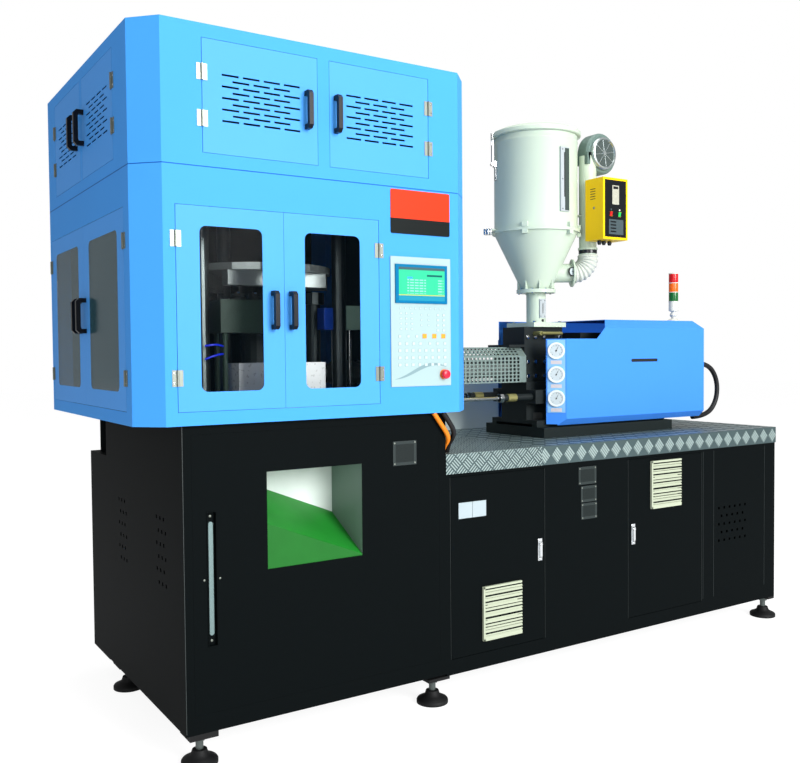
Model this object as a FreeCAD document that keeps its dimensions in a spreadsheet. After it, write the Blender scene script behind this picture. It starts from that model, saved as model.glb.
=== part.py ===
"""One-step injection stretch blow moulding machine, as a parametric document.

The origin is on the floor under the front left levelling foot. X runs along the
machine to the injection side, Y runs from the front to the rear and Z is up.
"""

import FreeCAD
import Part
import Sketcher

import math
import os

Vector = FreeCAD.Vector
Rotation = FreeCAD.Rotation

SIZES = {
    # blue cabinet, two tiers of folded sheet
    "cab_left": -245,
    "cab_front": -90,
    "cab_width": 1600,
    "cab_depth": 1500,
    "cab_bottom": 1380,
    "tier_seam": 2395,
    "cab_top": 2950,
    "cab_chamfer": 100,
    "sheet": 3,
    # doors of the cabinet, measured from the left edge of the wall that holds them
    "door_bottom": 1435,
    "door_top": 2240,
    "front_door_start": 150,
    "front_door_split": 608,
    "front_door_end": 1066,
    "side_door_start": 35,
    "side_door_split": 680,
    "side_door_end": 1325,
    "vent_bottom": 2450,
    "vent_top": 2894,
    "front_vent_start": 266,
    "front_vent_width": 505,
    "front_vent_post": 58,
    "side_vent_start": 160,
    "side_vent_width": 500,
    "side_vent_post": 40,
    "door_gap": 1.5,
    "door_depth": 18,
    "window_margin": 95,
    "window_sill": 76,
    "window_corner": 28,
    "glass": 5,
    "glass_gap": 0.3,
    # louvre slots of the upper doors
    "slot_long": 72,
    "slot_high": 8,
    "slot_pitch": 90,
    "slot_row": 22.6,
    "slot_rows": 9,
    "slots_in_row": 4,
    # handles and hinges
    "handle_span": 158,
    "handle_reach": 46,
    "handle_bar": 20,
    "handle_bend": 14,
    "handle_crook": 22.4,
    "handle_crook_rise": 8.4,
    "handle_inset_left": 50,
    "handle_inset_right": 30,
    "hinge_high": 64,
    "hinge_leaf": 22,
    "hinge_plate": 2.5,
    "hinge_barrel": 9,
    "hinge_axis_out": 5,
    "hinge_pin": 5,
    "hinge_from_edge": 100,
    "hinge_slack": 0.3,
    "pin_slack": 0.1,
    # operator panel, blank plates
    "panel_start": 1123,
    "panel_bottom": 1506,
    "panel_wide": 325,
    "panel_high": 582,
    "panel_thick": 6,
    "screen_side": 22,
    "screen_drop": 34,
    "screen_wide": 281,
    "screen_high": 174,
    "screen_thick": 6,
    "stop_side": 285,
    "stop_drop": 530,
    "stop_radius": 21,
    "stop_stem": 12,
    "stop_reach": 26,
    "stop_slack": 0.3,
    "stop_travel": 5,
    "plate_thick": 2,
    "badge_start": 1128,
    "badge_bottom": 2190,
    "badge_wide": 320,
    "badge_high": 196,
    "badge_corner": 8,
    "tower_plate_start": 904,
    "tower_plate_low": 1148,
    "tower_plate_wide": 126,
    "tower_plate_high": 110,
    "bed_plate_start": 2040,
    "bed_plate_low": 963,
    "bed_plate_wide": 126,
    "bed_plate_high": 92,
    "upper_note_start": 2056,
    "upper_note_low": 870,
    "upper_note_wide": 112,
    "upper_note_high": 84,
    "lower_note_start": 2058,
    "lower_note_low": 780,
    "lower_note_wide": 112,
    "lower_note_high": 84,
    # black base under the cabinet
    "base_left": -75,
    "base_front": -60,
    "base_long": 1270,
    "base_depth": 1120,
    "base_bottom": 140,
    "base_rim": 38,
    "panel_gap": 0.5,
    "chute_start": 361,
    "chute_wide": 456,
    "chute_bottom": 764,
    "chute_high": 407,
    "chute_deep": 280,
    "chute_slope_side": 0.404,
    "chute_slope_deep": 0.53,
    "liner_gap": 0.3,
    "trough_start": 97,
    "trough_bottom": 485,
    "trough_wide": 42,
    "trough_high": 545,
    "trough_deep": 22,
    "rear_box_start": 0,
    "rear_box_wide": 940,
    "rear_box_deep": 305,
    "rear_box_bottom": 136,
    "rear_box_top": 1160,
    "conduit_radius": 24,
    "conduit_inset": 60,
    "side_hole": 16,
    "side_hole_pitch": 46,
    "side_hole_rise": 55.2,
    "side_hole_front": 210,
    "side_hole_rear": 780,
    "side_hole_low": 690,
    "side_hole_rows": 6,
    "side_hole_columns": 3,
    # feet
    "foot_radius": 75,
    "foot_rim": 15,
    "foot_hub_radius": 36,
    "foot_hub": 22,
    "foot_stem": 16,
    "facets": 12,
    "fine_facets": 16,
    "wide_facets": 36,
    "foot_plate_long": 120,
    "foot_plate_last": 90,
    "foot_plate_last_start": 30,
    "foot_plate_thick": 14,
    "foot_pitch": 1000,
    "foot_middle": 1150,
    "foot_last": 3655,
    # long base that carries the injection unit
    "bed_end": 3685,
    "bed_bottom": 130,
    "bed_sheet": 3,
    "bed_rim": 45,
    "deck_top": 1180,
    "deck_lip": 95,
    "deck_sheet": 4,
    "deck_seam": 593,
    "deck_joint": 1,
    "bay_low": 205,
    "bay_high": 1068,
    "bay_left_start": 28,
    "bay_left_wide": 580,
    "bay_right_start": 1214,
    "bay_right_wide": 592,
    "bay_door_deep": 20,
    "bay_gap": 2.5,
    "bay_pin": 4,
    "bay_pin_slack": 0.08,
    "bay_pin_inset": 8,
    "bay_bracket": 8,
    "end_bay_start": 1912,
    "end_hole": 15,
    "end_hole_pitch": 48,
    "end_hole_low": 530,
    "end_hole_rows": 5,
    "end_hole_columns": 6,
    "grille_wide": 240,
    "grille_high": 262,
    "grille_thick": 12,
    "grille_slat": 26,
    "grille_slats": 10,
    "grille_lip": 4.2,
    "left_grille_start": 184,
    "left_grille_low": 56,
    "right_grille_start": 170,
    "right_grille_low": 580,
    "lock_wide": 26,
    "lock_high": 112,
    "lock_thick": 5,
    "lock_inset": 18,
    "lock_low": 400,
    "lever_wide": 16,
    "lever_long": 78,
    "lever_thick": 9,
    # injection axis and station geometry
    "unit_axis_y": 500,
    "unit_axis_z": 1560,
    "table_x": 445,
    "station_radius": 215,
    "tie_radius": 385,
    "tie_bar": 33,
    "tie_slack": 0.08,
    "press_foot": 50,
    "press_foot_inset_left": 75,
    "press_foot_inset_right": 115,
    "press_foot_inset": 10,
    "table_low": 2020,
    "table_thick": 30,
    "table_outer": 345,
    "hub_radius": 70,
    "hub_slack": 0.3,
    "lip_long": 470,
    "lip_wide": 70,
    "lip_high": 64,
    "lip_hole": 15,
    "lip_hole_pitch": 38,
    "platen_low": 2300,
    "platen_thick": 70,
    "platen_outer": 450,
    "platen_sides": 6,
    "core_radius": 12,
    "core_long": 100,
    "ram_radius": 45,
    "ram_slack": 0.08,
    "crown_low": 2640,
    "crown_thick": 80,
    "cylinder_outer": 95,
    "cylinder_top": 2900,
    "cylinder_wall": 20,
    "tie_nut": 50,
    "tie_nut_high": 40,
    "stretch_case": 34,
    "stretch_low": 2250,
    "stretch_rod": 8,
    "stretch_reach": 50,
    "stretch_plate_thick": 20,
    "stretch_half": 62,
    "stretch_room": 76,
    "guide_x": 721,
    "guide_y": 350,
    "guide_radius": 33,
    "guide_top": 1890,
    "guide_collar": 52,
    "guide_collar_high": 55,
    "mould_long": 207,
    "mould_deep": 150,
    "mould_top": 1620,
    "mould_slack": 0.3,
    "cavity_radius": 31,
    "cavity_pitch": 72,
    "cavity_floor": 1470,
    "cavity_shoulder": 1575,
    "neck_radius": 14,
    "cavity_mould_half": 130,
    "cavity_mould_top": 1700,
    "bridge_start": 160,
    "bridge_end": 545,
    "bridge_low": 1750,
    "bridge_top": 1890,
    "bridge_post": 11,
    "bridge_post_inset": 28,
    # injection carriage
    "slide_start": 2075,
    "slide_end": 3105,
    "slide_front": 243,
    "slide_thick": 57,
    "rail_wide": 40,
    "rail_high": 14,
    "rail_inset": 60,
    "carriage_slack": 0.3,
    "carriage_plate": 22,
    "carriage_end": 3290,
    "carriage_head": 230,
    "carriage_half": 110,
    "carriage_swivel": 150,
    "carriage_swivel_high": 40,
    "drive_start": 2450,
    "drive_long": 300,
    "drive_half": 150,
    "drive_top": 1765,
    "motor_radius": 110,
    "motor_end": 3200,
    "stay_low": 1300,
    "stay_thick": 30,
    "stay_wide": 40,
    "stay_foot_half": 194,
    "stay_front": 2600,
    "stay_rear": 3150,
    "throat_half": 95,
    "throat_long": 285,
    "throat_top": 1797,
    "throat_plate": 14,
    "throat_plate_reach": 110,
    "barrel_radius": 48,
    "band_radius": 60,
    "band_start": 135,
    "band_long": 120,
    "band_pitch": 150,
    "bands": 5,
    "nozzle_tip": 765,
    "nozzle_radius": 14,
    "nozzle_nut": 32,
    "nut_facets": 6,
    "nozzle_cone": 90,
    "guard_start": 1180,
    "guard_end": 2068,
    "guard_room_half": 204,
    "guard_half": 120,
    "guard_slope": 50,
    "guard_low": 1487,
    "guard_shoulder": 1633,
    "guard_sheet": 2,
    "guard_hole": 22,
    "guard_pitch": 36,
    "guard_rows": 4,
    "guard_columns": 17,
    "guard_row_start": 10.8,
    "guard_slope_inset": 7.5,
    "guard_first": 1410,
    "pull_rod": 10,
    "pull_rod_end": 2068,
    "pull_rod_side": 150,
    "pull_rod_z": 1405,
    "pull_rod_slack": 0.08,
    "pull_sleeve": 19,
    "pull_sleeve_start": 1845,
    # blue cover of the drive
    "cover_start": 2132,
    "cover_end": 3358,
    "cover_half": 290,
    "cover_low": 1247,
    "cover_high": 1838,
    "cover_top_bevel": 47,
    "cover_low_bevel": 36,
    "cover_front_bevel": 79,
    "cover_sheet": 3,
    "cover_end_cut": 50,
    "cover_sill": 1727,
    "cover_sill_end": 2445,
    "cover_slope": 110,
    "cover_slot_start": 508,
    "cover_slot_z": 1592,
    "cover_slot_long": 223,
    "cover_slot_high": 18,
    "cover_slot_corner": 8.1,
    "gauge_radius": 46,
    "gauge_thick": 8,
    "gauge_low": 1397,
    "gauge_pitch": 132,
    "gauges": 3,
    "loop_hose": 15,
    "orange_hose": 11,
    "black_hose": 12,
    "hose_room": 400,
    "hose_room_left": 1000,
    "hose_room_front": -200,
    # hopper dryer
    "hopper_x": 2245,
    "hopper_radius": 238,
    "hopper_wall": 4,
    "hopper_low": 2343,
    "hopper_rim": 2880,
    "flange_radius": 252,
    "flange_thick": 8,
    "flange_gap": 0.3,
    "cone_foot_radius": 84,
    "collar_radius": 112,
    "collar_thick": 20,
    "collar_low": 1995,
    "neck_radius_outer": 56,
    "neck_bore": 40,
    "neck_flange_half": 120,
    "neck_flange": 26,
    "sight_wide": 62,
    "sight_low": 2435,
    "sight_high": 355,
    "sight_deep": 9,
    "lid_lip": 257,
    "lid_crown_radius": 215,
    "lid_high": 45,
    "lid_ring_high": 27,
    "lid_sheet": 4,
    "lid_hinge_reach": 272,
    "lid_hinge_long": 90,
    "lid_hinge_barrel": 10,
    "lid_hinge_pin": 5,
    "lid_hinge_cheek": 8,
    "lid_hinge_slack": 0.08,
    "clip_turn": 160,
    "clip_wide": 34,
    "clip_long": 170,
    "clip_thick": 8,
    "clip_ear": 17.5,
    "clip_hub": 8,
    "wheel_radius": 26,
    "wheel_thick": 34,
    "wheel_reach": 290,
    "stub_turn": -30,
    "stub_radius": 54,
    "stub_reach": 215,
    "stub_z": 2110,
    "stub_flange": 80,
    "duct_radius": 50,
    "duct_reach": 304,
    "duct_low": 2215,
    "duct_high": 2780,
    "hose_rib": 60,
    "hose_root": 54,
    "hose_bore": 50,
    "hose_ribs": 8,
    "hose_bore_rings": 6,
    "hose_sides": 8,
    "tube_sides": 8,
    "tube_bend_share": 0.45,
    "hose_slack": 0.3,
    "snail_radius": 118,
    "snail_deep": 90,
    "snail_reach": 72,
    "snail_throat_half": 45,
    "snail_z": 2797,
    "snail_cap_radius": 92,
    "snail_cap_high": 24,
    "box_wide": 192,
    "box_deep": 140,
    "box_low": 2284,
    "box_high": 344,
    "box_corner_x": 188,
    "box_face_y": 350,
    "switch_wide": 18,
    "switch_high": 24,
    "switch_reach": 5,
    "switch_seat": 10,
    "switch_back": 9.6,
    "switch_slack": 1.5,
    "switch_pin": 1.5,
    "switch_pin_slack": 0.08,
    "switch_drop": 214,
    "switch_pitch": 66,
    "switch_side": 52,
    # stack light and rear sheet
    "stack_x": 3255,
    "stack_y": 360,
    "stack_radius": 30,
    "stack_foot": 40,
    "stack_foot_high": 16,
    "stack_ball": 24,
    "stack_lamp": 58,
    "stack_lamps": 3,
    "stack_case": 62,
    "stack_ring": 4,
    "rear_sheet_end": 2700,
    "rear_sheet_top": 1375,
    "rear_sheet_inset": 40,
}

SIDE_WALL = Rotation(Vector(0, 0, 1), -90)
ALONG_X = Rotation(Vector(0, 1, 0), 90)
TO_FRONT = Rotation(Vector(1, 0, 0), 90)
UPRIGHT = Rotation()

doc = FreeCAD.newDocument("BlowMouldingMachine")
sheet = doc.addObject("Spreadsheet::Sheet", "dim")
nodes = []


class Size:
    """A length of the sheet, or one worked out from such lengths."""

    def __init__(self, text, number):
        self.text = text
        self.number = number

    @staticmethod
    def of(value):
        """Give any number the form of a size."""
        return value if isinstance(value, Size) else Size(repr(value), value)

    def _with(self, sign, other, number):
        return Size(f"({self.text} {sign} {Size.of(other).text})", number)

    def __add__(self, other):
        return self._with("+", other, self.number + Size.of(other).number)

    def __sub__(self, other):
        return self._with("-", other, self.number - Size.of(other).number)

    def __mul__(self, other):
        return self._with("*", other, self.number * Size.of(other).number)

    def __truediv__(self, other):
        return self._with("/", other, self.number / Size.of(other).number)

    def __radd__(self, other):
        return Size.of(other) + self

    def __rsub__(self, other):
        return Size.of(other) - self

    def __rmul__(self, other):
        return Size.of(other) * self

    def __neg__(self):
        return 0 - self


class Named:
    """The sheet's cells by name."""

    def __init__(self, sizes):
        for row, (name, number) in enumerate(sizes.items(), 1):
            sheet.set(f"A{row}", name)
            sheet.set(f"B{row}", str(number))
            sheet.setAlias(f"B{row}", name)
            setattr(self, name, Size(f"dim.{name}", number))


size = Named(SIZES)
doc.recompute()


def place(obj, at, turn=UPRIGHT):
    """Put an object at a point whose three coordinates follow the sheet."""
    spot = [Size.of(value) for value in at]
    obj.Placement = FreeCAD.Placement(Vector(*[value.number for value in spot]), turn)
    for axis, value in zip("xyz", spot):
        obj.setExpression(f"Placement.Base.{axis}", value.text)
    return obj


def bound(kind, name, at, turn, **lengths):
    """Make a primitive with its lengths and its place bound to the sheet."""
    obj = doc.addObject(kind, name)
    for prop, value in lengths.items():
        obj.setExpression(prop, Size.of(value).text)
    return place(obj, at, turn)


def box(name, at, long, deep, high, turn=UPRIGHT):
    return bound("Part::Box", name, at, turn, Length=long, Width=deep, Height=high)


def bar(name, at, radius, long, turn=UPRIGHT, facets="facets"):
    """A round bar with flats, for what repeats or lies inside."""
    obj = bound("Part::Prism", name, at, turn, Circumradius=radius, Height=long)
    obj.Polygon = SIZES[facets]
    return obj


def made(name, shape, at=(0, 0, 0), turn=UPRIGHT):
    """An object for a shape that is worked out point by point."""
    obj = doc.addObject("Part::Feature", name)
    obj.Shape = shape
    return place(obj, at, turn)


def frustum(name, at, low, high, long):
    """An upright cone with flats, made face by face."""
    sides = SIZES["wide_facets"]
    rings = []
    for radius, level in ((low, 0), (high, Size.of(long).number)):
        reach = Size.of(radius).number
        rings.append([
            Vector(reach * math.cos(turn), reach * math.sin(turn), level)
            for turn in (2 * math.pi * index / sides for index in range(sides + 1))
        ])
    below, above = rings
    faces = [Part.Face(Part.makePolygon(ring)) for ring in rings]
    for index in range(sides):
        faces.append(Part.Face(Part.makePolygon([
            below[index], below[index + 1], above[index + 1], above[index], below[index]
        ])))
    return made(name, Part.makeSolid(Part.makeShell(faces)), at)


def group(name, *parts):
    """Separate solids under one name."""
    obj = doc.addObject("Part::Compound", name)
    obj.Links = list(parts)
    return obj


def turned(name, part, centre, angle):
    """A copy of a part, turned about an upright axis through a centre."""
    return place(group(name, part), centre, Rotation(Vector(0, 0, 1), angle))


def fuse(name, *parts):
    obj = doc.addObject("Part::MultiFuse", name)
    obj.Shapes = list(parts)
    obj.Refine = True
    return obj


def cut(name, base, *tools):
    obj = doc.addObject("Part::Cut", name)
    obj.Base = base
    obj.Tool = tools[0] if len(tools) == 1 else group(name + "_tools", *tools)
    obj.Refine = True
    return obj


def common(name, base, tool):
    obj = doc.addObject("Part::Common", name)
    obj.Base = base
    obj.Tool = tool
    obj.Refine = True
    return obj


def new_body(name, plane):
    """A body with an empty sketch on one of its own origin planes."""
    body = doc.addObject("PartDesign::Body", name)
    sketch = body.newObject("Sketcher::SketchObject", name + "_sketch")
    support = [item for item in body.Origin.OriginFeatures if item.Role == plane + "_Plane"]
    sketch.AttachmentSupport = (support[0], [""])
    sketch.MapMode = "FlatFace"
    return body, sketch


def pin_point(sketch, curve, end, across, up):
    """Fix one end of a sketch curve at sizes from the sketch's origin."""
    for kind, axis, value in (("DistanceX", -2, across), ("DistanceY", -1, up)):
        value = Size.of(value)
        if value.number == 0:
            sketch.addConstraint(Sketcher.Constraint("PointOnObject", curve, end, axis))
            continue
        rule = Sketcher.Constraint(kind, -1, 1, curve, end, value.number)
        index = sketch.addConstraint(rule)
        sketch.setExpression(f"Constraints[{index}]", value.text)


def draw_outline(sketch, points):
    """A closed outline of straight lines through points given as sizes."""
    spots = [Vector(Size.of(across).number, Size.of(up).number, 0) for across, up in points]
    for start, end in zip(spots, spots[1:] + spots[:1]):
        sketch.addGeometry(Part.LineSegment(start, end), False)
    for index in range(len(points)):
        following = (index + 1) % len(points)
        sketch.addConstraint(Sketcher.Constraint("Coincident", index, 2, following, 1))
    for index, (across, up) in enumerate(points):
        pin_point(sketch, index, 1, across, up)


def draw_rounded(sketch, left, low, right, high, radius):
    """A rectangle with four equal round corners."""
    left, low, right, high = [Size.of(value) for value in (left, low, right, high)]
    ends = (
        ((left + radius, low), (right - radius, low), (right - radius, low + radius)),
        ((right, low + radius), (right, high - radius), (right - radius, high - radius)),
        ((right - radius, high), (left + radius, high), (left + radius, high - radius)),
        ((left, high - radius), (left, low + radius), (left + radius, low + radius)),
    )
    up = Vector(0, 0, 1)
    quarter = math.pi / 2
    for side, (start, end, centre) in enumerate(ends):
        spots = [Vector(across.number, rise.number, 0) for across, rise in (start, end, centre)]
        sketch.addGeometry(Part.LineSegment(spots[0], spots[1]), False)
        circle = Part.Circle(spots[2], up, radius.number)
        arc = Part.ArcOfCircle(circle, (side - 1) * quarter, side * quarter)
        sketch.addGeometry(arc, False)
    for side, (start, end, centre) in enumerate(ends):
        line = 2 * side
        pin_point(sketch, line, 1, *start)
        pin_point(sketch, line, 2, *end)
        sketch.addConstraint(Sketcher.Constraint("Coincident", line, 2, line + 1, 1))
        following = (line + 2) % 8
        sketch.addConstraint(Sketcher.Constraint("Coincident", line + 1, 2, following, 1))
        rule = Sketcher.Constraint("Radius", line + 1, radius.number)
        index = sketch.addConstraint(rule)
        sketch.setExpression(f"Constraints[{index}]", radius.text)


def pad_sketch(body, sketch, long, back=False):
    pad = body.newObject("PartDesign::Pad", body.Name + "_pad")
    pad.Profile = sketch
    pad.Reversed = back
    pad.setExpression("Length", Size.of(long).text)
    return body


def prism(name, plane, points, long, at=(0, 0, 0), turn=UPRIGHT, back=False):
    """A straight-sided outline padded from one of the body's own planes."""
    body, sketch = new_body(name, plane)
    draw_outline(sketch, points)
    pad_sketch(body, sketch, long, back)
    return place(body, at, turn)


def rounded(name, plane, edges, radius, long, at=(0, 0, 0), turn=UPRIGHT, back=False):
    """A round-cornered rectangle padded from one of the body's own planes."""
    body, sketch = new_body(name, plane)
    draw_rounded(sketch, *edges, radius)
    pad_sketch(body, sketch, long, back)
    return place(body, at, turn)


def node(name, obj):
    """Name a finished sub-part and list it for export."""
    obj.Label = name
    nodes.append(obj)
    return obj


# ---------------------------------------------------------------- blue cabinet

cab_right = size.cab_left + size.cab_width
cab_rear = size.cab_front + size.cab_depth
base_right = size.base_left + size.base_long
base_rear = size.base_front + size.base_depth
press_left = size.base_left + size.press_foot_inset_left
press_right = base_right - size.press_foot_inset_right
press_front = size.base_front + size.press_foot_inset
press_rear = base_rear - size.press_foot_inset
FRONT_AT = (size.cab_left, size.cab_front, 0)
SIDE_AT = (size.cab_left, cab_rear, 0)


def cabinet_block(name, low, high, inset):
    """The cabinet's chamfered plan between two heights, moved in by an inset."""
    corner = size.cab_chamfer + inset * (2 ** 0.5 - 2)
    left, front = size.cab_left + inset, size.cab_front + inset
    right, rear = cab_right - inset, cab_rear - inset
    plan = [
        (left + corner, front),
        (right - corner, front),
        (right, front + corner),
        (right, rear),
        (left, rear),
        (left, front + corner),
    ]
    return prism(name, "XY", plan, high - low, (0, 0, low))


def wall_hole(name, turn, at, start, end, low, high):
    """The hole in a wall that a door pair fills."""
    gap = size.door_gap
    spot = [Size.of(value) for value in at]
    reach = 2 * size.door_depth
    if turn is UPRIGHT:
        corner = (spot[0] + start - gap, spot[1] - size.door_depth, low - gap)
    else:
        corner = (spot[0] - size.door_depth, spot[1] - start + gap, low - gap)
    return box(name, corner, end - start + 2 * gap, reach, high - low + 2 * gap, turn)


def cabinet():
    """Both tiers of the blue cabinet, open where doors, barrel and press need it."""
    outer = cabinet_block("lower_outer", size.cab_bottom, size.tier_seam, Size.of(0))
    inner = cabinet_block(
        "lower_inner", size.cab_bottom + size.sheet, size.tier_seam + size.sheet, size.sheet
    )
    front = wall_hole(
        "lower_front_hole", UPRIGHT, FRONT_AT,
        size.front_door_start, size.front_door_end, size.door_bottom, size.door_top,
    )
    side = wall_hole(
        "lower_side_hole", SIDE_WALL, SIDE_AT,
        size.side_door_start, size.side_door_end, size.door_bottom, size.door_top,
    )
    floor = box(
        "lower_floor_hole",
        (press_left, press_front, size.cab_bottom - size.sheet),
        press_right - press_left, press_rear - press_front, 3 * size.sheet,
    )
    barrel = box(
        "barrel_hole",
        (cab_right - 2 * size.sheet, size.unit_axis_y - size.guard_room_half,
         size.cab_bottom + 2 * size.sheet),
        4 * size.sheet, 2 * size.guard_room_half,
        size.guard_shoulder + 2 * size.guard_slope - size.cab_bottom,
    )
    stem = 2 * size.stop_stem
    press_room = box(
        "stop_room",
        (size.cab_left + size.panel_start + size.stop_side - stem, size.cab_front - size.sheet,
         size.panel_bottom + size.panel_high - size.stop_drop - stem),
        2 * stem, 3 * size.sheet, 2 * stem,
    )
    node("cabinet_lower", cut(
        "cabinet_lower_cut", outer, inner, front, side, floor, barrel, press_room
    ))

    outer = cabinet_block("upper_outer", size.tier_seam, size.cab_top, Size.of(0))
    inner = cabinet_block(
        "upper_inner", size.tier_seam - size.sheet, size.cab_top - size.sheet, size.sheet
    )
    holes = []
    for wall, turn, at, start, wide, post in VENT_WALLS:
        for index in range(2):
            begin = start + index * (wide + post)
            holes.append(wall_hole(
                f"{wall}_vent_hole_{index}", turn, at, begin, begin + wide,
                size.vent_bottom, size.vent_top,
            ))
    node("cabinet_upper", cut("cabinet_upper_cut", outer, inner, *holes))


VENT_WALLS = (
    ("front", UPRIGHT, FRONT_AT, size.front_vent_start, size.front_vent_width,
     size.front_vent_post),
    ("side", SIDE_WALL, SIDE_AT, size.side_vent_start, size.side_vent_width,
     size.side_vent_post),
)


OCTAGON_REACH = 1 / math.cos(math.pi / 8)
FACET_REACH = 1 / math.cos(math.pi / SIZES["facets"])


def octagon(centre_x, centre_y, across):
    """An eight-sided outline of a given width across its flats."""
    half = across / 2
    step = half * (2 ** 0.5 - 1)
    pairs = ((half, step), (step, half), (-step, half), (-half, step),
             (-half, -step), (-step, -half), (step, -half), (half, -step))
    return [(centre_x + across_x, centre_y + across_y) for across_x, across_y in pairs]


def hinge_leaf(name, edge, side, low, moving):
    """One leaf of a lift-off hinge; side is the way the leaf lies from its knuckle."""
    half, reach, across = size.hinge_high / 2, size.hinge_leaf, size.hinge_barrel
    slack = size.hinge_slack
    start = edge if side > 0 else edge - reach
    leaf = box(
        name + "_leaf", (start, -size.hinge_plate, low), reach, size.hinge_plate, size.hinge_high
    )
    ring = octagon(edge, -size.hinge_axis_out, across)
    sweep = across / 2 * OCTAGON_REACH + slack
    room = box(
        name + "_room",
        (edge if side > 0 else edge - sweep, -across, low if moving else low + half),
        sweep, 2 * across, half + slack if moving else half,
    )
    trimmed = cut(name + "_trimmed", leaf, room)
    if moving:
        top = low + half + slack
        knuckle = prism(name + "_knuckle", "XY", ring, half - slack, (0, 0, top))
        bore = octagon(
            edge, -size.hinge_axis_out, size.hinge_pin * OCTAGON_REACH + 2 * size.pin_slack
        )
        hole = prism(name + "_bore", "XY", bore, half, (0, 0, top))
        return cut(name, fuse(name + "_solid", trimmed, knuckle), hole)
    knuckle = prism(name + "_knuckle", "XY", ring, half, (0, 0, low))
    pin = prism(
        name + "_pin", "XY", octagon(edge, -size.hinge_axis_out, size.hinge_pin), size.hinge_high,
        (0, 0, low),
    )
    return fuse(name, trimmed, knuckle, pin)


def handle(name, x, middle):
    """A bow handle: two feet and a bar, with the bends cut as flats."""
    reach, bar, half = size.handle_reach, size.handle_bar, size.handle_span / 2
    bend, crook, rise = size.handle_bend, size.handle_crook, size.handle_crook_rise
    outline = [
        (0, -half), (-reach + bend, -half), (-reach, -half + bend), (-reach, half - bend),
        (-reach + bend, half), (0, half), (0, half - bar), (-reach + crook, half - bar),
        (-reach + bar, half - bar - rise), (-reach + bar, -half + bar + rise),
        (-reach + crook, -half + bar), (0, -half + bar),
    ]
    return prism(name, "YZ", outline, bar, (x - bar / 2, 0, middle))


def door(name, wall, start, end, low, high, hinge_side, glazed, handle_inset):
    """One door of a pair: pan, hinge leaves and handle, with its pane or louvre."""
    turn, at = wall
    gap, sheet_thick = size.door_gap / 2, size.sheet
    left = start + (size.door_gap if hinge_side < 0 else gap) - gap
    right = end - (size.door_gap if hinge_side > 0 else gap) + gap
    pan = box(name + "_block", (left, 0, low), right - left, size.door_depth, high - low)
    hollow = box(
        name + "_hollow", (left + sheet_thick, sheet_thick, low + sheet_thick),
        right - left - 2 * sheet_thick, size.door_depth, high - low - 2 * sheet_thick,
    )
    tools = [hollow]
    if glazed:
        edges = (
            left + size.window_margin, low + size.window_sill,
            right - size.window_margin, high - size.window_sill,
        )
        tools.append(rounded(
            name + "_window", "XZ", edges, size.window_corner, 3 * size.door_depth,
            (0, 2 * size.door_depth, 0),
        ))
    else:
        tools += louvre(name, left, right, low, high)
    panel = cut(name + "_pan", pan, *tools)
    edge = (start - size.door_gap / 2) if hinge_side < 0 else (end + size.door_gap / 2)
    leaves = []
    for index, height in enumerate((
        low + size.hinge_from_edge, high - size.hinge_from_edge - size.hinge_high
    )):
        leaves.append(hinge_leaf(f"{name}_leaf_{index}", edge, -hinge_side, height, True))
        fixed_leaves.append(place(
            group(f"{name}_fixed_{index}",
                  hinge_leaf(f"{name}_fixed_leaf_{index}", edge, hinge_side, height, False)),
            at, turn,
        ))
    grip_x = right - handle_inset if hinge_side < 0 else left + handle_inset
    grip = handle(name + "_handle", grip_x, (low + high) / 2)
    whole = fuse(name + "_door", panel, *leaves)
    node(name, place(group(name + "_set", whole, grip), at, turn))
    if glazed:
        gap = size.glass_gap
        shrunk = (edges[0] + gap, edges[1] + gap, edges[2] - gap, edges[3] - gap)
        pane = rounded(
            name + "_pane", "XZ", shrunk, size.window_corner - gap, size.glass,
            (0, size.glass, 0),
        )
        node(name.replace("door", "window"), place(group(name + "_glass", pane), at, turn))


def louvre(name, left, right, low, high):
    """Staggered rows of slots, every second row one slot shorter."""
    middle, height = (left + right) / 2, (low + high) / 2
    slots = []
    rows = SIZES["slot_rows"]
    for row in range(rows):
        count = SIZES["slots_in_row"] - row % 2
        first = middle - ((count - 1) * size.slot_pitch + size.slot_long) / 2
        level = height + (row - (rows - 1) / 2) * size.slot_row - size.slot_high / 2
        for index in range(count):
            slots.append(box(
                f"{name}_slot_{row}_{index}",
                (first + index * size.slot_pitch, -size.sheet, level),
                size.slot_long, 3 * size.sheet, size.slot_high,
            ))
    return slots


fixed_leaves = []


def doors():
    """Eight cabinet doors in four pairs, each pair opening from its middle."""
    front, side = (UPRIGHT, FRONT_AT), (SIDE_WALL, SIDE_AT)
    left_grip, right_grip = size.handle_inset_left, size.handle_inset_right
    glazed_pairs = (
        ("front_door_left", "front_door_right", front,
         size.front_door_start, size.front_door_split, size.front_door_end),
        ("side_door_rear", "side_door_front", side,
         size.side_door_start, size.side_door_split, size.side_door_end),
    )
    for first, second, wall, start, split, end in glazed_pairs:
        low, high = size.door_bottom, size.door_top
        gap = size.door_gap / 2
        door(first, wall, start, split - gap, low, high, -1, True, left_grip)
        door(second, wall, split + gap, end, low, high, 1, True, right_grip)
    names = {"front": ("vent_door_left", "vent_door_right"),
             "side": ("side_vent_rear", "side_vent_front")}
    for wall, turn, at, start, wide, post in VENT_WALLS:
        low, high = size.vent_bottom, size.vent_top
        first, second = names[wall]
        other = start + wide + post
        door(first, (turn, at), start, start + wide, low, high, -1, False, left_grip)
        door(second, (turn, at), other, other + wide, low, high, 1, False, right_grip)
    node("cabinet_hinges", group("fixed_hinge_leaves", *fixed_leaves))


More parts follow.
